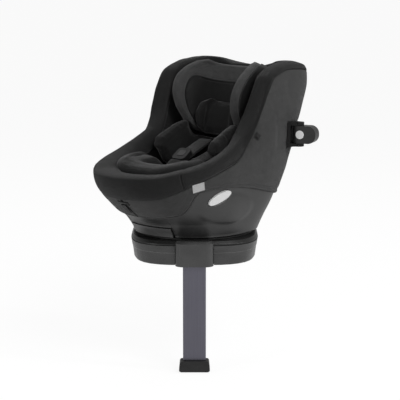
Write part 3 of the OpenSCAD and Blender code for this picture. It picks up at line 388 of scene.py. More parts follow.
# ---------------------------------------------------------------- turntable, carrier and underframe
# The turntable runs on the ball race and carries a pressed steel bridge; the seat's steel underframe
# hinges on it with one pin, and a sprung bar drops into the bridge's notches to hold the recline.
frame_grey = plated("frame_steel", 104, 0.5)
dress("turntable", ring_black, angle=24, bevel=0.0008)
dress("recline_carrier", frame_grey, bevel=0.0008)
dress("seat_underframe", frame_grey, bevel=0.0008)
for n in ("recline_pivot_pin", "swivel_lock_bolt", "recline_lock_bar"):
    coat(n, bright)

# ---------------------------------------------------------------- seat shell
# The bucket is one blow-moulded polypropylene shell, 3 mm thick here. Its grey lower bowl shows under the
# fabric, with a raised boss round each swivel button, a rolled lower edge and a notch for the handle.

# OUTLINE, the plan at each height: height, reach to the front, to the back and to the side, the centre's
# place, and how square it is at the front and at the back. COLUMNS, from the front centre to the back
# centre: angle and height of the lower edge, angle and height of the rim, how the angle and the height
# grow between them, how far the rim draws in, and the reach of the rim's lip.
OUTLINE = np.array([
    [70, 180, -180, 180, 0, 2.0, 2.2], [120, 212, -180, 188, 10, 2.1, 3.2],
    [160, 262, -186, 195, 20, 2.2, 4.5], [205, 310, -198, 203, 30, 2.2, 5.5],
    [255, 333, -216, 210, 30, 2.2, 6.0], [320, 320, -240, 214, 0, 2.3, 6.0],
    [400, 290, -269, 215, -40, 2.4, 6.0], [480, 250, -302, 213, -80, 2.5, 6.0],
    [530, 220, -317, 208, -100, 2.6, 5.5], [556, 180, -306, 202, -130, 2.6, 5.0],
    [572, 120, -275, 191, -150, 2.6, 4.5]])
COLUMNS = np.array([
    [0, 78, 0, 262, 1, 0, 72], [22, 78, 21, 264, 1, 0, 71],
    [45, 78, 32, 272, 1, 0, 69], [68, 78, 46, 281, 1, 0, 65],
    [86, 78, 64, 293, 1.2, 6, 61], [98, 78, 78, 308, 1.5, 14, 58], [107, 78, 84.5, 337, 1.9, 20, 56],
    [115, 78, 87, 380, 2, 16, 55], [122, 78, 86, 426, 2, 8, 54], [129, 79, 85.5, 470, 2, 3, 53],
    [135, 80, 87.5, 508, 1.9, 0, 52], [141, 82, 92, 535, 1.6, 0, 50], [147, 84, 101, 550, 1.3, 0, 50],
    [152, 86, 113, 552, 1.1, 0, 52], [157, 88, 127, 550, 1, 0, 58], [163, 90, 143, 544, 1, 0, 70],
    [171, 92, 162, 536, 1, 0, 78], [180, 92, 180, 533, 1, 0, 80]])
TURN = math.radians(42)
SEAT_AHEAD, SEAT_BELOW = 300, 45


def through(rows, x):
    """Smooth curve through a list of rows (cubic with the neighbours' slopes), x in rows."""
    rows = np.asarray(rows, float)
    n = len(rows) - 1
    x = np.clip(x, 0, n)
    i = np.minimum(x.astype(int), n - 1)
    t = (x - i).reshape(x.shape + (1,) * (rows.ndim - 1))
    a, b, c, d = rows[np.maximum(i - 1, 0)], rows[i], rows[i + 1], rows[np.minimum(i + 2, n)]
    bend, twist = 2 * a - 5 * b + 4 * c - d, 3 * b - a - 3 * c + d
    return 0.5 * (2 * b + (c - a) * t + bend * t * t + twist * t ** 3)


def column(s):
    """The row of COLUMNS at a place round the wall: s is 0 at the front centre and 1 at the back centre."""
    return through(COLUMNS, np.abs(s) * (len(COLUMNS) - 1))


def ease(x):
    """0 below 0, 1 above 1 and an S-curve between."""
    x = np.clip(x, 0, 1)
    return x * x * (3 - 2 * x)


def outline(angle, z, inward):
    """Point of the bucket's plan at an angle from straight ahead: a superellipse whose size, centre and
    squareness are read from the height, drawn in by a distance."""
    st = through(OUTLINE, np.interp(z, OUTLINE[:, 0], np.arange(len(OUTLINE))))
    c, s = np.cos(np.radians(angle)), np.sin(np.radians(angle))
    n = st[..., 5] + (st[..., 6] - st[..., 5]) * ease((angle - 70) / 40)
    ru = np.where(c >= 0, st[..., 1] - st[..., 4], st[..., 4] - st[..., 2]) - inward
    r = ((np.abs(c) / ru) ** n + (np.abs(s) / (st[..., 3] - inward)) ** n) ** (-1 / n)
    return np.stack([s * r, -(st[..., 4] + c * r), np.broadcast_to(z, r.shape)], -1)


def wall(s, t, inward=0.0):
    """Point of the bucket wall in seat millimetres: s runs round from the front centre (0) to the back
    centre (1, negative on the right), t from the lower edge (0) to the rim (1) and past it."""
    s, t, inward = np.broadcast_arrays(np.asarray(s, float), t, inward)
    c = column(s)
    k = np.clip(t, 0, 1)
    f = np.where(t <= 1, 1 - (1 - k) ** c[..., 4], t)
    p = outline(c[..., 0] + (c[..., 2] - c[..., 0]) * k ** c[..., 4], c[..., 1] + (c[..., 3] - c[..., 1]) * f,
                inward + c[..., 5] * k ** 3)
    p[..., 0] *= np.where(s < 0, -1, 1)
    return p


def rim_t(s, e):
    """Wall position a distance e above (or, negative, below) the rim."""
    s = np.asarray(s, float)
    return 1 + e * 0.1 / np.linalg.norm(wall(s, 1.0) - wall(s, 0.9), axis=-1)


def height_t(s, z):
    """Wall position at a height."""
    c = column(s)
    f = np.clip((z - c[..., 1]) / (c[..., 3] - c[..., 1]), 0, 1)
    return 1 - (1 - f) ** (1 / c[..., 4])


def placed(p):
    """Seat millimetres to the frame in metres: turned to the rest position of the swivel."""
    c, s = math.cos(TURN), math.sin(TURN)
    x, y = p[..., 0] * c + p[..., 1] * s, -p[..., 0] * s + p[..., 1] * c
    return np.stack([x, y - SEAT_AHEAD, p[..., 2] - SEAT_BELOW], -1) / 1000


def ripple(p, size, seed):
    """Smooth unevenness between -1 and 1: a sum of sine waves of about one length in seeded directions."""
    rng = np.random.default_rng(seed)
    kinds = 7
    total = 0
    for _ in range(kinds):
        way = rng.normal(size=3)
        way *= rng.uniform(0.7, 1.4) * 2 * math.pi / size / np.linalg.norm(way)
        total = total + np.sin(p @ way + rng.uniform(0, 6.28))
    return total / kinds


def skin(name, grid, node, material, loop_rows=False, loop_columns=True, edge=None, parts=None):
    """Quads over a grid of points in metres, with the cloth lengths along it as a UV map in metres and the
    distance to the sewn edge as an attribute. Rows or columns that fall together are welded."""
    n, m = grid.shape[:2]
    i, j = np.meshgrid(np.arange(n - (not loop_rows)), np.arange(m - (not loop_columns)), indexing="ij")
    i1, j1 = (i + 1) % n, (j + 1) % m
    quads = np.stack([i * m + j, i * m + j1, i1 * m + j1, i1 * m + j], -1).reshape(-1, 4)
    mesh = bpy.data.meshes.new(name)
    mesh.vertices.add(n * m)
    mesh.vertices.foreach_set("co", grid.reshape(-1).astype(np.float32))
    mesh.loops.add(quads.size)
    mesh.loops.foreach_set("vertex_index", quads.reshape(-1).astype(np.int32))
    mesh.polygons.add(len(quads))
    mesh.polygons.foreach_set("loop_start", np.arange(0, quads.size, 4, dtype=np.int32))
    mesh.update(calc_edges=True)
    wide = np.concatenate([grid, grid[:1]]) if loop_rows else grid
    wide = np.concatenate([wide, wide[:, :1]], 1) if loop_columns else wide
    across = np.pad(np.cumsum(np.linalg.norm(np.diff(wide, axis=1), axis=-1), 1), ((0, 0), (1, 0)))
    along = np.pad(np.cumsum(np.linalg.norm(np.diff(wide, axis=0), axis=-1), 0), ((1, 0), (0, 0)))
    uv = np.stack([across - across[:, -1:] / 2, along], -1)
    corners = np.stack([uv[i, j], uv[i, j + 1], uv[i + 1, j + 1], uv[i + 1, j]], 2)
    mesh.uv_layers.new(name="cloth").data.foreach_set("uv", corners.reshape(-1).astype(np.float32))
    if edge is not None:
        from_edge = mesh.attributes.new("edge", "FLOAT", "POINT").data
        from_edge.foreach_set("value", edge.reshape(-1).astype(np.float32))
    for one in material if isinstance(material, list) else [material]:
        mesh.materials.append(one)
    if parts is not None:
        mesh.polygons.foreach_set("material_index", parts[i, j].reshape(-1).astype(np.int32))
    mesh.polygons.foreach_set("use_smooth", np.ones(len(quads), bool))
    weld = bmesh.new()
    weld.from_mesh(mesh)
    bmesh.ops.remove_doubles(weld, verts=weld.verts, dist=3e-6)
    bmesh.ops.recalc_face_normals(weld, faces=weld.faces)
    weld.to_mesh(mesh)
    weld.free()
    piece = bpy.data.objects.new(name, mesh)
    scene.collection.objects.link(piece)
    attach(piece, body_of[node])
    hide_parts(node)
    return piece


BOSS_ANGLE, BOSS_Z = 77, 162


def boss(angle, z):
    """Height of the oval boss round a swivel button: a soft shoulder that swells to a rounded crown."""
    r = np.hypot((np.abs(angle) - BOSS_ANGLE) / 30.0, (z - BOSS_Z) / 46.0)
    return 2.6 * ease((1.10 - r) / 0.30) + 6.0 * np.clip(1 - r * r, 0, 1) ** 1.5


BUTTON_MIDDLE = np.array([195.911, -110.076, 200.0])
BUTTON_ALONG, BUTTON_UP = np.array([-0.1709, -0.9853, 0.0]), np.array([-0.2177, 0.0378, 0.9753])
BUTTON_LEAN = math.radians(-21)


def button_oval(s, t, grow):
    """Below 1 inside the button's oval opening, grown by a distance: the wall's point is measured along and
    across the oval's leaning axis and divided by its half length and half width."""
    p = wall(s, t)
    p[..., 0] *= np.where(s < 0, -1, 1)
    d = p - BUTTON_MIDDLE
    a, b = d @ BUTTON_ALONG, d @ BUTTON_UP
    c, n = math.cos(BUTTON_LEAN), math.sin(BUTTON_LEAN)
    return np.hypot((a * c + b * n) / (40 + grow), (b * c - a * n) / (13.5 + grow))


NOTCH_HALF, NOTCH_TOP = 77.5, 108.8
OUTER_IN, INNER_IN = 1.2, 4.2
near_front = np.linspace(0, 0.2, 300)
notch = np.interp(NOTCH_HALF, wall(near_front, 0.08)[:, 0], near_front)
notch_sides = [notch, notch + 0.0006, -notch, -notch - 0.0006]
around = np.sort(np.concatenate([np.linspace(-1, 1, 441)[:-1], notch_sides]))[None, :]
low = height_t(around, np.where(np.abs(around) <= notch + 1e-6, NOTCH_TOP, column(around)[..., 1]))
top = rim_t(around, -9)
upward = low + (top - low) * np.concatenate([[0, 0.006, 0.014], np.linspace(0.025, 1, 92)])[:, None]
cols = column(around)
turn_at = cols[..., 0] + (cols[..., 2] - cols[..., 0]) * upward ** cols[..., 4]
plain = wall(around, upward)
proud = boss(turn_at, plain[..., 2])
button_well = 4.0 * ease((1.0 - button_oval(np.broadcast_to(around, upward.shape), upward, 2.0)) / 0.10)
# The adjuster's well is bounded by width and height alone, so it wrongly dents the back of the shell too.
adjuster_off_x, adjuster_off_z = np.abs(plain[..., 0]), np.abs(plain[..., 2] - 192.5)
adjuster_well = 17 * ease((18.5 - adjuster_off_x) / 2.5) * ease((10.5 - adjuster_off_z) / 2)
foot_roll = 1.2 * ease((0.03 - (upward - low)) / 0.03)
outer = wall(around, upward, -proud + (button_well + adjuster_well) - foot_roll + OUTER_IN)
inner = wall(around, low + (top - low) * np.linspace(1, 0, 14)[:, None], INNER_IN)
shell_grey = moulded("shell_grey_plastic", 42, 0.38, spec=0.8)
skin("seat_shell_finished", placed(np.concatenate([outer, inner])), "seat_shell", shell_grey, loop_rows=True)
bead = Finish("foam_beads", Roughness=0.9, Specular_IOR_Level=0.1)
cells = bead.node("TexVoronoi", None, Vector=bead.node("TexCoord")[3], Scale=240.0)
# Painted shade: each bead is lighter in its raised middle and darker towards the sunken joins with its
# neighbours.
coat("impact_foam", bead.paint(Base_Color=bead.blend(cells[0].within(0.0, 0.7), tone(225), tone(196)),
                               Normal=bead.bump(cells[0] * -1.0, 0.0006)))

# ---------------------------------------------------------------- recline handle
# A moulded grip plate in the notch of the shell's lower edge. It is hinged on its own rod behind the wall
# and draws the bar that holds the recline.
handle_grey = moulded("handle_grey_plastic", 82, 0.38, spec=0.5)
dress("recline_handle", handle_grey, angle=30, bevel=0.0014, segments=3)

# ---------------------------------------------------------------- side fabric
# Melange polyester laminated on 4 mm foam, cut in two halves that meet at the front centre. The lower
# hem is turned and topstitched; the upper edge is sewn to the rim band, and each half has a cut-out
# for its swivel button.


def cloth(name, dark, light, pitch=0.0012, seams=(), melange=1.0, sheen=0.25, spec=0.12, uv=True):
    """Woven polyester: over-and-under threads with painted shade between them, fibres of two greys spun
    together, soft sheen, and rows of lockstitch at the given distances from the sewn edge, with painted shade
    along that edge and in each row's trough."""
    f = Finish(name, Sheen_Weight=sheen, Sheen_Roughness=0.45, Specular_IOR_Level=spec)
    coord = f.node("TexCoord")
    place = coord[2] if uv else f.node("Mapping", None, coord[3], None, (0, 0, TURN), None)[0]
    x, y, z = f.node("SeparateXYZ", None, place)
    a, b = x.wave(pitch), y.wave(pitch)
    if uv:
        over = (a * b) > 0.0
        weave = over * b.size() + (1 - over) * a.size()
        warp = f.noise(place, 1.0, 2.0, (260.0, 1500.0, 1.0))
        weft = f.noise(place, 1.0, 2.0, (1500.0, 260.0, 1.0))
        fibre = over * warp + (1 - over) * weft
    else:
        c = z.wave(pitch)
        weave = (a * b + b * c + c * a) * 0.35 + 0.5
        fibre = f.noise(place, 700.0, 3.0)
    patch = f.noise(place, 55.0, 4.0)
    shade = (fibre - 0.5) * 1.9 * melange + (patch - 0.5) * melange + 0.5
    colour = f.blend(shade.math("MAXIMUM", 0.0).math("MINIMUM", 1.0), tone(dark), tone(light))
    # Painted shade: the cloth is darkened where the weave is low, between the threads.
    colour = f.blend((1 - weave.within(0.0, 0.55)) * 0.45, colour, tone(dark * 0.55))
    height = weave
    if seams:
        edge = f.node("Attribute", {"attribute_name": "edge"})[2]
        dash = x.part(0.0042) < 0.76
        # Painted shade along the sewn edge: the cloth darkens to a fifth of its dark tone within about 2 mm
        # of it.
        colour = f.blend((1 - edge.within(0.0004, 0.0024)) * 0.8, colour, tone(dark * 0.2))
        for far in seams:
            row = (edge - far).size()
            trough = 1 - row.within(0.0002, 0.0022)
            line = (1 - row.within(0.00035, 0.0006)) * dash
            height = height * (1 - trough * 0.6) - trough * 1.6 + line * 2.4
            # Painted shade darkens the trough of each stitch row; the lighter line below is the stitch
            # thread's own colour.
            colour = f.blend(trough * 0.25, colour, tone(dark * 0.5))
            colour = f.blend(line, colour, tone(light * 1.05))
    fuzz = f.noise(place, 2200.0, 2.0)
    return f.paint(Base_Color=colour, Roughness=0.84 + (fibre - 0.5) * 0.14,
                   Normal=f.bump(height + fuzz * 0.35, 0.00028))


def softened(x, table):
    """A line of straight stretches through a table of places and heights, with its corners rounded by a
    running mean."""
    return np.convolve(np.pad(np.interp(x, table[:, 0], table[:, 1]), 8, "edge"), np.ones(17) / 17, "valid")


HEM = np.array([[0, 138], [20, 139], [41, 152], [52, 178], [60, 206], [68, 222], [80, 227], [95, 224],
                [115, 202], [135, 179], [150, 177], [180, 180]])
hem_angles = np.linspace(-10, 190, 401)
hem_heights = softened(np.abs(hem_angles), HEM)
SEAM = np.array([[0, 62], [1, 59], [2, 50], [3, 30], [4, 14], [5, 9], [11, 9], [12, 7], [14, 7], [15, 20],
                 [17, 26]])
seam_marks = np.linspace(0, len(COLUMNS) - 1, 341)
seam_drops = softened(seam_marks, SEAM)
COVER_START, COVER_END, HALF_RIM = 0.0015, 0.875, 950


def hem_t(s):
    """Wall position of the fabric's lower hem."""
    return height_t(s, np.interp(column(s)[..., 0], hem_angles, hem_heights))


def seam_t(s, e=0.0):
    """Wall position of the seam between the side fabric and the rim band, or e below it."""
    return rim_t(s, -np.interp(np.abs(s) * (len(COLUMNS) - 1), seam_marks, seam_drops) - e)


side_cloth = cloth("side_melange_cloth", 52, 82, seams=(0.0075,))
for side, sign in (("left", 1), ("right", -1)):
    around = sign * np.linspace(COVER_START, COVER_END, 260)[None, :]
    lo, hi = hem_t(around), seam_t(around, 1.2)
    tall = np.linalg.norm(wall(around, hi) - wall(around, lo), axis=-1)
    near = np.array([0, 0.5, 1.2, 2.0, 3.0, 4.2, 5.6, 6.8, 8.2])[:, None] / tall
    middle = near[-1:] + (1 - 2 * near[-1:]) * np.linspace(0, 1, 62)[1:-1, None]
    rise = np.concatenate([near, middle, 1 - near[::-1]])
    upward = lo + (hi - lo) * rise
    from_hem, from_seam = rise * tall, (1 - rise) * tall
    from_end = np.minimum(np.abs(around) - COVER_START, COVER_END - np.abs(around)) * HALF_RIM
    # The edge runs from the hem and, within 2.5 mm, from the seam, so the cloth's painted seam shade falls
    # along both while its stitch row follows the hem alone.
    edge = np.minimum(from_hem, np.where(from_seam < 2.5, from_seam, 12))
    from_edge = np.minimum(np.minimum(from_hem, from_seam), from_end)
    roll = np.sqrt(1 - (1 - np.clip(from_edge / 3.0, 0, 1)) ** 2)
    plain = wall(around, upward)
    soft = ripple(plain, 95, 11) * 0.9 + ripple(plain, 42, 12) * 0.35
    puff = 3.6 + soft * ease(from_hem / 30) * ease(from_seam / 25) + 0.9 * ease((6.5 - from_hem) / 2.5)
    puff = puff - 1.0 * np.exp(-((from_hem - 7.5) / 1.6) ** 2)
    pod_high, pod_long = np.abs(plain[..., 2] - 357), np.abs(plain[..., 1] - 200)
    puff = puff - 1.9 * ease((40 - pod_high) / 12) * ease((96 - pod_long) / 18)
    hole = button_oval(np.broadcast_to(around, upward.shape), upward, 1.8)
    lip_roll = ease((hole - 1.0) / 0.16)
    out = wall(around, upward, -1 - puff * roll * lip_roll + 5.0 * ease((1.03 - hole) / 0.04))
    back = wall(around, upward, -1 + 5.2 * ease((1.03 - hole) / 0.04))
    skin(f"side_cover_{side}_sewn", placed(np.concatenate([out, back[::-1]])), "side_cover_" + side,
         side_cloth, loop_rows=True, loop_columns=False,
         edge=np.concatenate([edge, np.full_like(edge, 50)]) / 1000)

# ---------------------------------------------------------------- rim band
# A padded band of plain dark cloth runs round the rim and over its lip, in a front piece and two long
# side pieces joined by upright seams; it is sewn to the side fabric below and tucks under the liner.
rim_cloth = cloth("rim_plain_cloth", 32, 46, pitch=0.0009, seams=(0.0035,), melange=0.6, sheen=0.2)
around = np.linspace(-1, 1, 561)[:-1]
lip = column(around)[..., 6]
UPRIGHT_SEAM = 0.143
PUFF = np.array([1, 1, 1, 1.3, 1.7, 2, 2, 2, 2.05, 2.3, 2.9, 3.2, 2.6, 1.1, 0.70, 1.2, 1.7, 1.8, 1.4, 1.2,
                 1.1])[:, None]


def ring(e, f, d):
    """Points a height e over the rim, drawn in by the share f of the lip's reach and by d."""
    return wall(around, rim_t(around, e), f * lip + d)


def band(f, d):
    """Points the share f of the way from the seam up to the rim, drawn in by d."""
    return wall(around, seam_t(around) * (1 - f) + rim_t(around, -4) * f, d)


puff = through(PUFF, np.abs(around) * (len(PUFF) - 1))[..., 0]
flat = 1 - 0.42 * ease((np.abs(around) - 0.64) / 0.10) - 0.20 * ease((0.24 - np.abs(around)) / 0.08)
controls = np.stack([
    band(0, -2.2), band(0.0, -6.0 * flat - 1.6 * (1 - flat)), band(0.25, -9.2 * flat),
    band(0.62, -9.8 * flat), band(1, -9.4 * flat), ring(3.4 * puff, 0, -6.4 * flat),
    ring(8.0 * puff, 0.10, 0), ring(9.2 * puff, 0.35, 0), ring(8.6 * puff, 0.68, 0),
    ring(4.6 * puff, 0.92, 0.2), ring(-4, 1, 1.0), ring(-13.0, 1, 0.5), ring(-9.9, 1, -11),
    ring(-9.4, 0.45, 0), ring(-7.6, 0, 6), band(1, -1.9), band(0.5, -1.9)])
loop = np.concatenate([controls[-1:], controls, controls[:2]])
rows = np.linspace(1, len(controls) + 1, 61)[:-1]
roll = through(loop, rows)
from_upright = np.abs(np.abs(around) - UPRIGHT_SEAM)[None, :] * HALF_RIM
front_face = (ease((rows - 1.2) / 1.0) * ease((11.4 - rows) / 1.0))[:, None, None]
outward = roll - controls.mean(0)[None]
outward /= np.linalg.norm(outward, axis=-1, keepdims=True)
swell = -1.8 * np.exp(-(from_upright / 2.2) ** 2) + 0.5 * ripple(roll, 60, 21) + 0.3 * ripple(roll, 26, 22)
roll = roll + outward * front_face * swell[..., None]
TILT, HEAD_Y, HEAD_Z = math.radians(20.2875), 158.833, 330.0


def in_head(p):
    """Seat millimetres to the headrest's own frame: z up the backrest, y to the back."""
    y, z = p[..., 1] - HEAD_Y, p[..., 2] - HEAD_Z
    return np.stack([p[..., 0], y * math.cos(TILT) - z * math.sin(TILT),
                     y * math.sin(TILT) + z * math.cos(TILT)], -1)


def from_head(h):
    """The headrest's own frame to seat millimetres."""
    y, z = h[..., 1], h[..., 2]
    return np.stack([h[..., 0], y * math.cos(TILT) + z * math.sin(TILT) + HEAD_Y,
                     -y * math.sin(TILT) + z * math.cos(TILT) + HEAD_Z], -1)


CUP_HALF, CUP_LOW = 141.1, 118
local = in_head(roll)
side_way = np.clip(np.abs(local[..., 0]) / CUP_HALF, 0, 1) ** (1 / 0.66)
cup_back = -150 + 156.6 * np.sqrt(np.sqrt(np.clip(1 - side_way ** 2, 0, 1)))
behind_cup = (np.abs(local[..., 0]) < CUP_HALF) & (local[..., 2] > CUP_LOW)
local[..., 1] = np.where(behind_cup, np.maximum(local[..., 1], cup_back + 0.4), local[..., 1])
roll = from_head(local)
# The edge attribute places the stitch row and the painted seam shade along the lower seam and the upright
# seams.
seam_gap = np.linalg.norm(roll - controls[1][None], axis=-1) * np.where(rows[:, None] < 5.5, 1, 9)
skin("rim_cover_sewn", placed(roll), "rim_cover", rim_cloth, loop_rows=True,
     edge=np.minimum(seam_gap, from_upright + 0.2) / 1000)

# ---------------------------------------------------------------- liner
# The bucket is lined with dark knit over 12 mm of soft foam, from the lip of the rim down the walls and
# across the pan, with a sewn corner where the walls meet the pan.
liner_cloth = cloth("liner_dark_knit", 26, 38, pitch=0.0010, melange=0.5, sheen=0.15)


def pan_ring(angle, ru, rr, rv):
    """Outline of the sitting pan: a rounded shape that is squarer at its corners than at front and back."""
    c, s = np.cos(np.radians(angle)), np.sin(np.radians(angle))
    e = ease(np.abs(angle) / 90 - 0.5)
    y = -(60 + np.where(c >= 0, ru, rr) * np.sign(c) * np.abs(c) ** (0.9 + (0.28 - 0.9) * e))
    return np.stack([rv * np.sign(s) * np.abs(s) ** (0.95 + (0.4 - 0.95) * e), y, 0 * y], -1)


def pan_z(y):
    """Height of the sitting pan, which falls in a straight slope towards the back."""
    return 212 + (115 - y) / 340 * 28


def pan_edge(d, m):
    """Outline of the pan grown by m, d into the padding."""
    p = pan_ring(column(around)[..., 0] * np.where(around < 0, -1, 1), 165 + m + d, 162 + m + d, 122 + m + d)
    p[..., 2] = pan_z(p[..., 1]) - d
    return p


def cavity(d):
    """Rows of the lined cavity from the lip down the wall and over the pan, d into the padding."""
    a, c, f = wall(around, rim_t(around, -14), lip - d), pan_edge(d, 20), pan_edge(d, 0)
    w = a + (c - a) * 0.84
    corner = 0.25 * w + 0.5 * c + 0.25 * f
    return np.stack([a, a + (c - a) * 0.33, a + (c - a) * 0.62, w, corner, f, pan_edge(d, -75)])


around = np.linspace(-1, 1, 401)[:-1]
lip = column(around)[..., 6]
face = through(cavity(0.3), np.linspace(0, 6, 56))
behind = through(cavity(11.5), np.linspace(6, 0, 14))
centre = np.ones((1, around.size, 1)) * face[-1].mean(0) + np.array([0, 0, -1.0])
grid = np.concatenate([centre + np.array([0, 0, -10.0]), behind, face, centre])
skin("seat_liner_sewn", placed(grid), "seat_liner", liner_cloth)

# ---------------------------------------------------------------- insert cushions
# A removable insert for small children: a seat cushion with a raised boxed front roll, and a back
# cushion whose side bolsters wrap the body. Both are polyester wadding in soft knit, sewn at the edges.


BLOW_FRAMES = 20


def stuffed(node, material, voxel, cap, shrink=0.0015, shape=None):
    """A sewn cushion: the cut shape is remeshed, blown up by a short cloth simulation and held within a
    cap; shape bends it first, in seat millimetres."""
    mesh = frame["nodes"][node].data.copy()
    piece = bpy.data.objects.new(node + "_stuffed", mesh)
    scene.collection.objects.link(piece)
    weld = bmesh.new()
    weld.from_mesh(mesh)
    bmesh.ops.remove_doubles(weld, verts=weld.verts, dist=2e-6)
    weld.to_mesh(mesh)
    weld.free()
    for kind, settings in (("REMESH", {"mode": "VOXEL", "voxel_size": voxel}),
                           ("SMOOTH", {"factor": 0.5, "iterations": 4}),
                           ("DISPLACE", {"strength": -shrink, "mid_level": 0.0})):
        step = piece.modifiers.new(kind.lower(), kind)
        for key, value in settings.items():
            setattr(step, key, value)
    applied(piece)
    if shape:
        piece.data.vertices.foreach_set("co", placed(shape(unplaced(points_of(piece.data)))).reshape(-1))
    rest = points_of(piece.data)
    blow = piece.modifiers.new("cloth", "CLOTH")
    blow.settings.quality, blow.settings.mass = 5, 0.3
    blow.settings.use_pressure, blow.settings.uniform_pressure_force = True, 4.0
    blow.settings.effector_weights.gravity = 0
    blow.point_cache.frame_start, blow.point_cache.frame_end = 1, BLOW_FRAMES
    for step in range(1, BLOW_FRAMES + 1):
        scene.frame_set(step)
    applied(piece)
    scene.frame_set(1)
    moved = points_of(piece.data) - rest
    far = np.maximum(np.linalg.norm(moved, axis=1, keepdims=True), 1e-9)
    piece.data.vertices.foreach_set("co", (rest + moved * np.minimum(1, cap / far)).reshape(-1))
    finer = piece.modifiers.new("finer", "SUBSURF")
    finer.levels = finer.render_levels = 1
    applied(piece)
    piece.data.materials.clear()
    piece.data.materials.append(material)
    piece.data.polygons.foreach_set("use_smooth", np.ones(len(piece.data.polygons), bool))
    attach(piece, body_of[node])
    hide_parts(node)


def unplaced(p):
    """The frame in metres back to seat millimetres."""
    c, s = math.cos(TURN), math.sin(TURN)
    x, y = p[..., 0] * 1000, p[..., 1] * 1000 + SEAT_AHEAD
    return np.stack([x * c - y * s, x * s + y * c, p[..., 2] * 1000 + SEAT_BELOW], -1)


def filled(p):
    """The seat cushion's hollow filled up towards its raised front and sides, with room for the buckle, and
    the front drawn out square and long."""
    v, u, z = p[:, 0], -p[:, 1], p[:, 2]
    c, s = np.clip((u - 52) / 157, 0, 2) ** (1 / 0.68), (np.abs(v) / 116) ** (1 / 0.72)
    angle = np.degrees(np.arctan2(s, c))
    inside = np.clip(1 - np.hypot(s, c) ** 0.70, 0, 1) * 120
    top = 287 + 12 * ease(angle / 70) - 2 - 0.12 * inside - 45 * ease((115 - u) / 60)
    top = top - 40 * ease((52 - np.abs(v)) / 20) * ease((168 - u) / 28)
    above = ease((z - pan_z(p[:, 1]) - 12) / 6)
    z = np.where(np.abs(angle) > 40, np.minimum(z, top + 6), z)
    z = z + np.maximum(top - z, 0) * above * (inside > 0)
    out = ease((u - 90) / 70)
    longer = 1 + 0.045 * out + 0.075 * out * np.sin(np.radians(2 * angle)) ** 2
    return np.stack([v * (1 + 0.11 * out), -(u * longer), z], -1)


def points_of(mesh):
    """A mesh's vertices as rows of x, y and z."""
    co = np.zeros(len(mesh.vertices) * 3, np.float32)
    mesh.vertices.foreach_get("co", co)
    return co.reshape(-1, 3).astype(float)


def applied(piece):
    """Turns what the modifiers make into the piece's own mesh."""
    made = bpy.data.meshes.new_from_object(piece.evaluated_get(bpy.context.evaluated_depsgraph_get()))
    old = piece.data
    piece.modifiers.clear()
    piece.data = made
    if not old.users:
        bpy.data.meshes.remove(old)


insert_cloth = cloth("insert_soft_knit", 27, 41, pitch=0.0012, uv=False, melange=0.7, sheen=0.3)
dark_cloth = cloth("pillow_dark_knit", 30, 44, pitch=0.0011, uv=False, melange=0.6, sheen=0.25)
stuffed("insert_back", insert_cloth, voxel=0.006, cap=0.005)
stuffed("insert_seat", insert_cloth, voxel=0.006, cap=0.005, shape=filled)

# ---------------------------------------------------------------- buckle
# The crotch strap comes up through the pan and carries a padded sleeve and the moulded buckle with its
# grey press button.
webbing = Finish("strap_webbing", Sheen_Weight=0.15, Sheen_Roughness=0.4, Specular_IOR_Level=0.3)
turned = webbing.node("Mapping", None, webbing.node("TexCoord")[3], None, (0, 0, TURN), None)[0]
wx, wy, wz = webbing.node("SeparateXYZ", None, turned)
rib = wx.wave(0.0022).size()
tick = ((wy + wz) + wx * 0.5).wave(0.0016).size()
weave = rib * 0.7 + tick * 0.5
# Painted shade: the webbing is darker in the low places of its ribs and twill and lighter on their crowns.
strap_web = webbing.paint(Base_Color=webbing.blend(weave.within(0.1, 1.0), tone(20), tone(42)),
                          Roughness=0.55 + (1 - rib) * 0.2, Normal=webbing.bump(weave, 0.0003))
dress("crotch_strap", strap_web, bevel=0.0003)
stuffed("crotch_pad", dark_cloth, voxel=0.004, cap=0.002, shrink=0.001)
dress("buckle_housing", moulded("buckle_black_plastic", 30, 0.35, spec=0.5), bevel=0.0016, segments=3)
dress("buckle_button", moulded("buckle_button_grey", 70, 0.38), bevel=0.0012, segments=3)

# ---------------------------------------------------------------- shoulder straps
# Two webbing straps come over the back cushion inside padded sleeves and run down to the buckle. The
# sleeves are boxed foam in soft cloth, topstitched along both edges.
STRAP_PATH = [(39, -101.5, 326.5), (41.5, -74, 315), (44, -38, 299.5), (38, 8, 284), (30, 48, 275),
              (24, 80, 265.5)]


def strap(sign, start, stop, half, thick, crown):
    """A flat band along the shoulder path: a rounded section carried along the curve, drawn to a line at
    both ends; crown makes it thicker in the middle."""
    sections, points = 90, 40
    x = np.linspace(start, stop, sections)
    p = through(STRAP_PATH, x * (len(STRAP_PATH) - 1))
    way = np.gradient(p, axis=0)
    way /= np.linalg.norm(way, axis=1, keepdims=True)
    up = np.cross(np.array([1.0, 0, 0]), np.stack([0 * way[:, 0], way[:, 1], way[:, 2]], 1))
    up /= np.linalg.norm(up, axis=1, keepdims=True)
    end = np.sqrt(np.clip(1 - (np.abs(np.linspace(-1, 1, sections)) ** (14 if crown else 60)), 0, 1))[:, None]
    a = np.linspace(0, 2 * math.pi, points + 1)[None, :-1]
    c, s = np.cos(a), np.sin(a)
    wide = half * np.sign(c) * np.abs(c) ** 0.45
    deep = thick * np.sign(s) * np.abs(s) ** 0.8 * (1 + crown * (1 - (wide / half) ** 2))
    q = p[:, None, :] + (deep * end)[..., None] * up[:, None, :]
    q[..., 0] += wide * (0.94 + 0.06 * end)
    from_edge = np.broadcast_to(half - np.abs(wide), q.shape[:2])
    return np.stack([q[..., 0] * sign, -q[..., 1], q[..., 2]], -1), from_edge


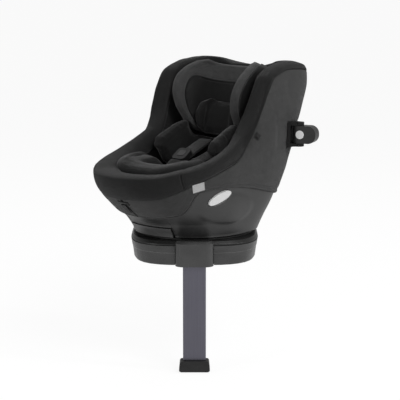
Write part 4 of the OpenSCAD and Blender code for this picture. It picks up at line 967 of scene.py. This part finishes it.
pad_cloth = cloth("pad_soft_cloth", 46, 70, pitch=0.0011, seams=(0.005,), melange=0.7, sheen=0.3)
for side, sign in (("right", -1), ("left", 1)):
    sleeve, from_edge = strap(sign, 0.04, 0.72, 27, 5.5, 0.28)
    # The edge attribute is the distance to the sleeve's side edges, where the cloth gets its topstitch rows
    # and painted seam shade.
    pad = skin("shoulder_pad_" + side, placed(sleeve), "shoulder_pads", pad_cloth, edge=from_edge / 1000)
    bare, from_edge = strap(sign, 0.71, 0.97, 19, 1.0, 0)
    skin("harness_web_" + side, placed(bare), "harness_webbing", strap_web)

# ---------------------------------------------------------------- harness adjuster
# A moulded bezel through the front of the shell guides the pull strap of the harness. Its press button
# frees the strap.
dress("adjuster_bezel", moulded("bezel_black_plastic", 24, 0.4), bevel=0.0008)
dress("adjuster_button", moulded("adjuster_grey_plastic", 52, 0.4), bevel=0.0008)
dress("adjuster_strap", strap_web, bevel=0.0003)

# ---------------------------------------------------------------- swivel buttons
# Pale moulded ovals, one in the well of each boss of the shell. Pressed in, the left one draws the bolt
# that holds the turntable.
button_white = moulded("button_white_plastic", 250, 0.30, grain=0.00002, spec=0.5, mottle=0.01)
for side in ("left", "right"):
    dress("spin_button_" + side, button_white, bevel=0.0022, segments=4)

# ---------------------------------------------------------------- side impact pods
# A fold-out pod on each side of the backrest, moulded in dark plastic and hinged on a pin in its bracket,
# with a round white key. Small holders of the same plastic park the harness on the side fabric.
pod_dark = moulded("pod_dark_plastic", 40, 0.36, spec=0.5)
bracket_black = moulded("bracket_black_plastic", 32, 0.46)
key_white = moulded("pod_key_plastic", 252, 0.34, spec=0.5, mottle=0.02)
dress("side_pod_brackets", bracket_black, angle=28, bevel=0.0050, segments=4)
for side in ("left", "right"):
    dress("side_pod_" + side, pod_dark, bevel=0.0070, segments=5)
    dress("side_pod_button_" + side, key_white, bevel=0.0012, segments=3)
dress("harness_holders", bracket_black, bevel=0.0010)

# ---------------------------------------------------------------- sewn tag
# A plain white satin tag, woven fine and caught in the side fabric at its upper edge, with nothing on
# either face.
tag_cloth = cloth("tag_satin", 196, 226, pitch=0.0006, uv=False, melange=0.4, sheen=0.2, spec=0.3)
dress("sewn_tag", tag_cloth, bevel=0.0003)

# ---------------------------------------------------------------- headrest
# A moulded cup that slides up the backrest, with a sewn pad: a light outer band carried round the top
# and wings, a darker middle field, and a small separate pillow for an infant's head.
HEAD_TALL, CUP_WIDEST = 222, 143
CUP_ROWS = np.array([[0, 0.74, 58], [18, 0.81, 92], [52, 0.87, 134], [96, 0.93, 156], [142, 0.96, 150],
                     [182, 0.93, 122], [208, 0.86, 92], [HEAD_TALL, 0.76, 66]])


def cup(z, half, deep, off, thick, columns, round_tip, scale):
    """A wrapped section at one height: a superelliptic arc from wing to wing with a thickness that closes
    to a line at both tips; scale closes it at the top and bottom edges. Returns the two faces."""
    a = np.radians(np.linspace(-90, 90, 1201))
    x = (half - thick / 2) * np.sign(a) * np.abs(np.sin(a)) ** 0.66
    y = -deep + (deep - off - thick / 2) * np.clip(np.cos(a), 0, 1) ** 0.5
    far = np.pad(np.cumsum(np.hypot(np.diff(x), np.diff(y))), (1, 0))
    at = (1 - np.cos(np.linspace(0, math.pi, columns))) / 2 * 0.35 + np.linspace(0, 1, columns) * 0.65
    x, y = np.interp(at * far[-1], far, x), np.interp(at * far[-1], far, y)
    tip = np.minimum(at, 1 - at) * far[-1]
    nx, ny = np.gradient(y), -np.gradient(x)
    norm = np.hypot(nx, ny)
    body = np.sqrt(1 - (1 - np.clip(tip / round_tip, 0, 1)) ** 2) * scale * thick / 2
    nx, ny = nx / norm * body, ny / norm * body
    return (np.stack([x - nx, y - ny, 0 * x + z], -1), np.stack([x + nx, y + ny, 0 * x + z], -1), tip)


def cup_surface(half_trim, deep_trim, off, thick, round_tip, edge_round, rows, columns):
    """The cup's sections stacked up the backrest, closed by a rounded edge above and below."""
    u = np.linspace(0, 1, rows)
    zs = HEAD_TALL * (0.8 * u + 0.2 * (1 - np.cos(math.pi * u)) / 2)
    outs, ins, tips = [], [], []
    for z in zs:
        _, narrow, deep = through(CUP_ROWS, np.interp(z, CUP_ROWS[:, 0], np.arange(len(CUP_ROWS))))
        shut = math.sqrt(max(0.0, 1 - (1 - min(1.0, min(z, HEAD_TALL - z) / edge_round)) ** 2))
        half = CUP_WIDEST * narrow - half_trim
        out, inside, tip = cup(z, half, deep + deep_trim, off, thick, columns, round_tip, shut)
        outs.append(out)
        ins.append(inside)
        tips.append(tip)
    return np.array(outs), np.array(ins), np.array(tips), zs


outs, ins, _, _ = cup_surface(0, -6, 0, 4.4, 2.2, 2.2, 60, 90)
skin("headrest_shell_moulded", placed(from_head(np.concatenate([outs, ins[:, ::-1]], 1))), "headrest_shell",
     moulded("headrest_black_plastic", 36, 0.46))

outs, ins, tips, zs = cup_surface(2.2, 10, 5.2, 27, 12, 11, 96, 170)
from_top = (HEAD_TALL - zs)[:, None]
bandwidth = (np.maximum(tips, 1) ** -4.0 + np.maximum(from_top * 0.66, 1) ** -4.0) ** -0.25
split = 38.0
groove = np.exp(-((bandwidth - split) / 2.4) ** 2)
puffed = ins - outs
puffed /= np.maximum(np.linalg.norm(puffed, axis=-1, keepdims=True), 1e-6)
soft = ripple(ins, 70, 31) * 0.8 + ripple(ins, 30, 32) * 0.35
from_edge = np.minimum(tips, np.minimum(zs[:, None], from_top))
ins = ins + puffed * ((-2.6 * groove + soft * ease(tips / 20)) * ease(from_edge / 12))[..., None]
band_cloth = cloth("headrest_light_cloth", 62, 92, seams=(0.0035,), melange=0.9)
field_cloth = cloth("headrest_dark_cloth", 24, 38, pitch=0.0010, seams=(0.0035,), melange=0.6)
parts = np.concatenate([np.zeros_like(bandwidth), (bandwidth > split).astype(float)[:, ::-1]], 1)
# The inner face's edge is the distance to the split between band and field, where both cloths get their
# stitch row and painted seam shade.
edge = np.concatenate([np.full_like(bandwidth, 50.0), np.abs(bandwidth - split)[:, ::-1]], 1)
headrest_pad = skin("headrest_pad_sewn", placed(from_head(np.concatenate([outs, ins[:, ::-1]], 1))),
                    "headrest_pad", [band_cloth, field_cloth], edge=edge / 1000, parts=parts)
stuffed("head_pillow", dark_cloth, voxel=0.005, cap=0.004)
dress("headrest_handle", bracket_black, bevel=0.0015, segments=3)

low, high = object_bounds()
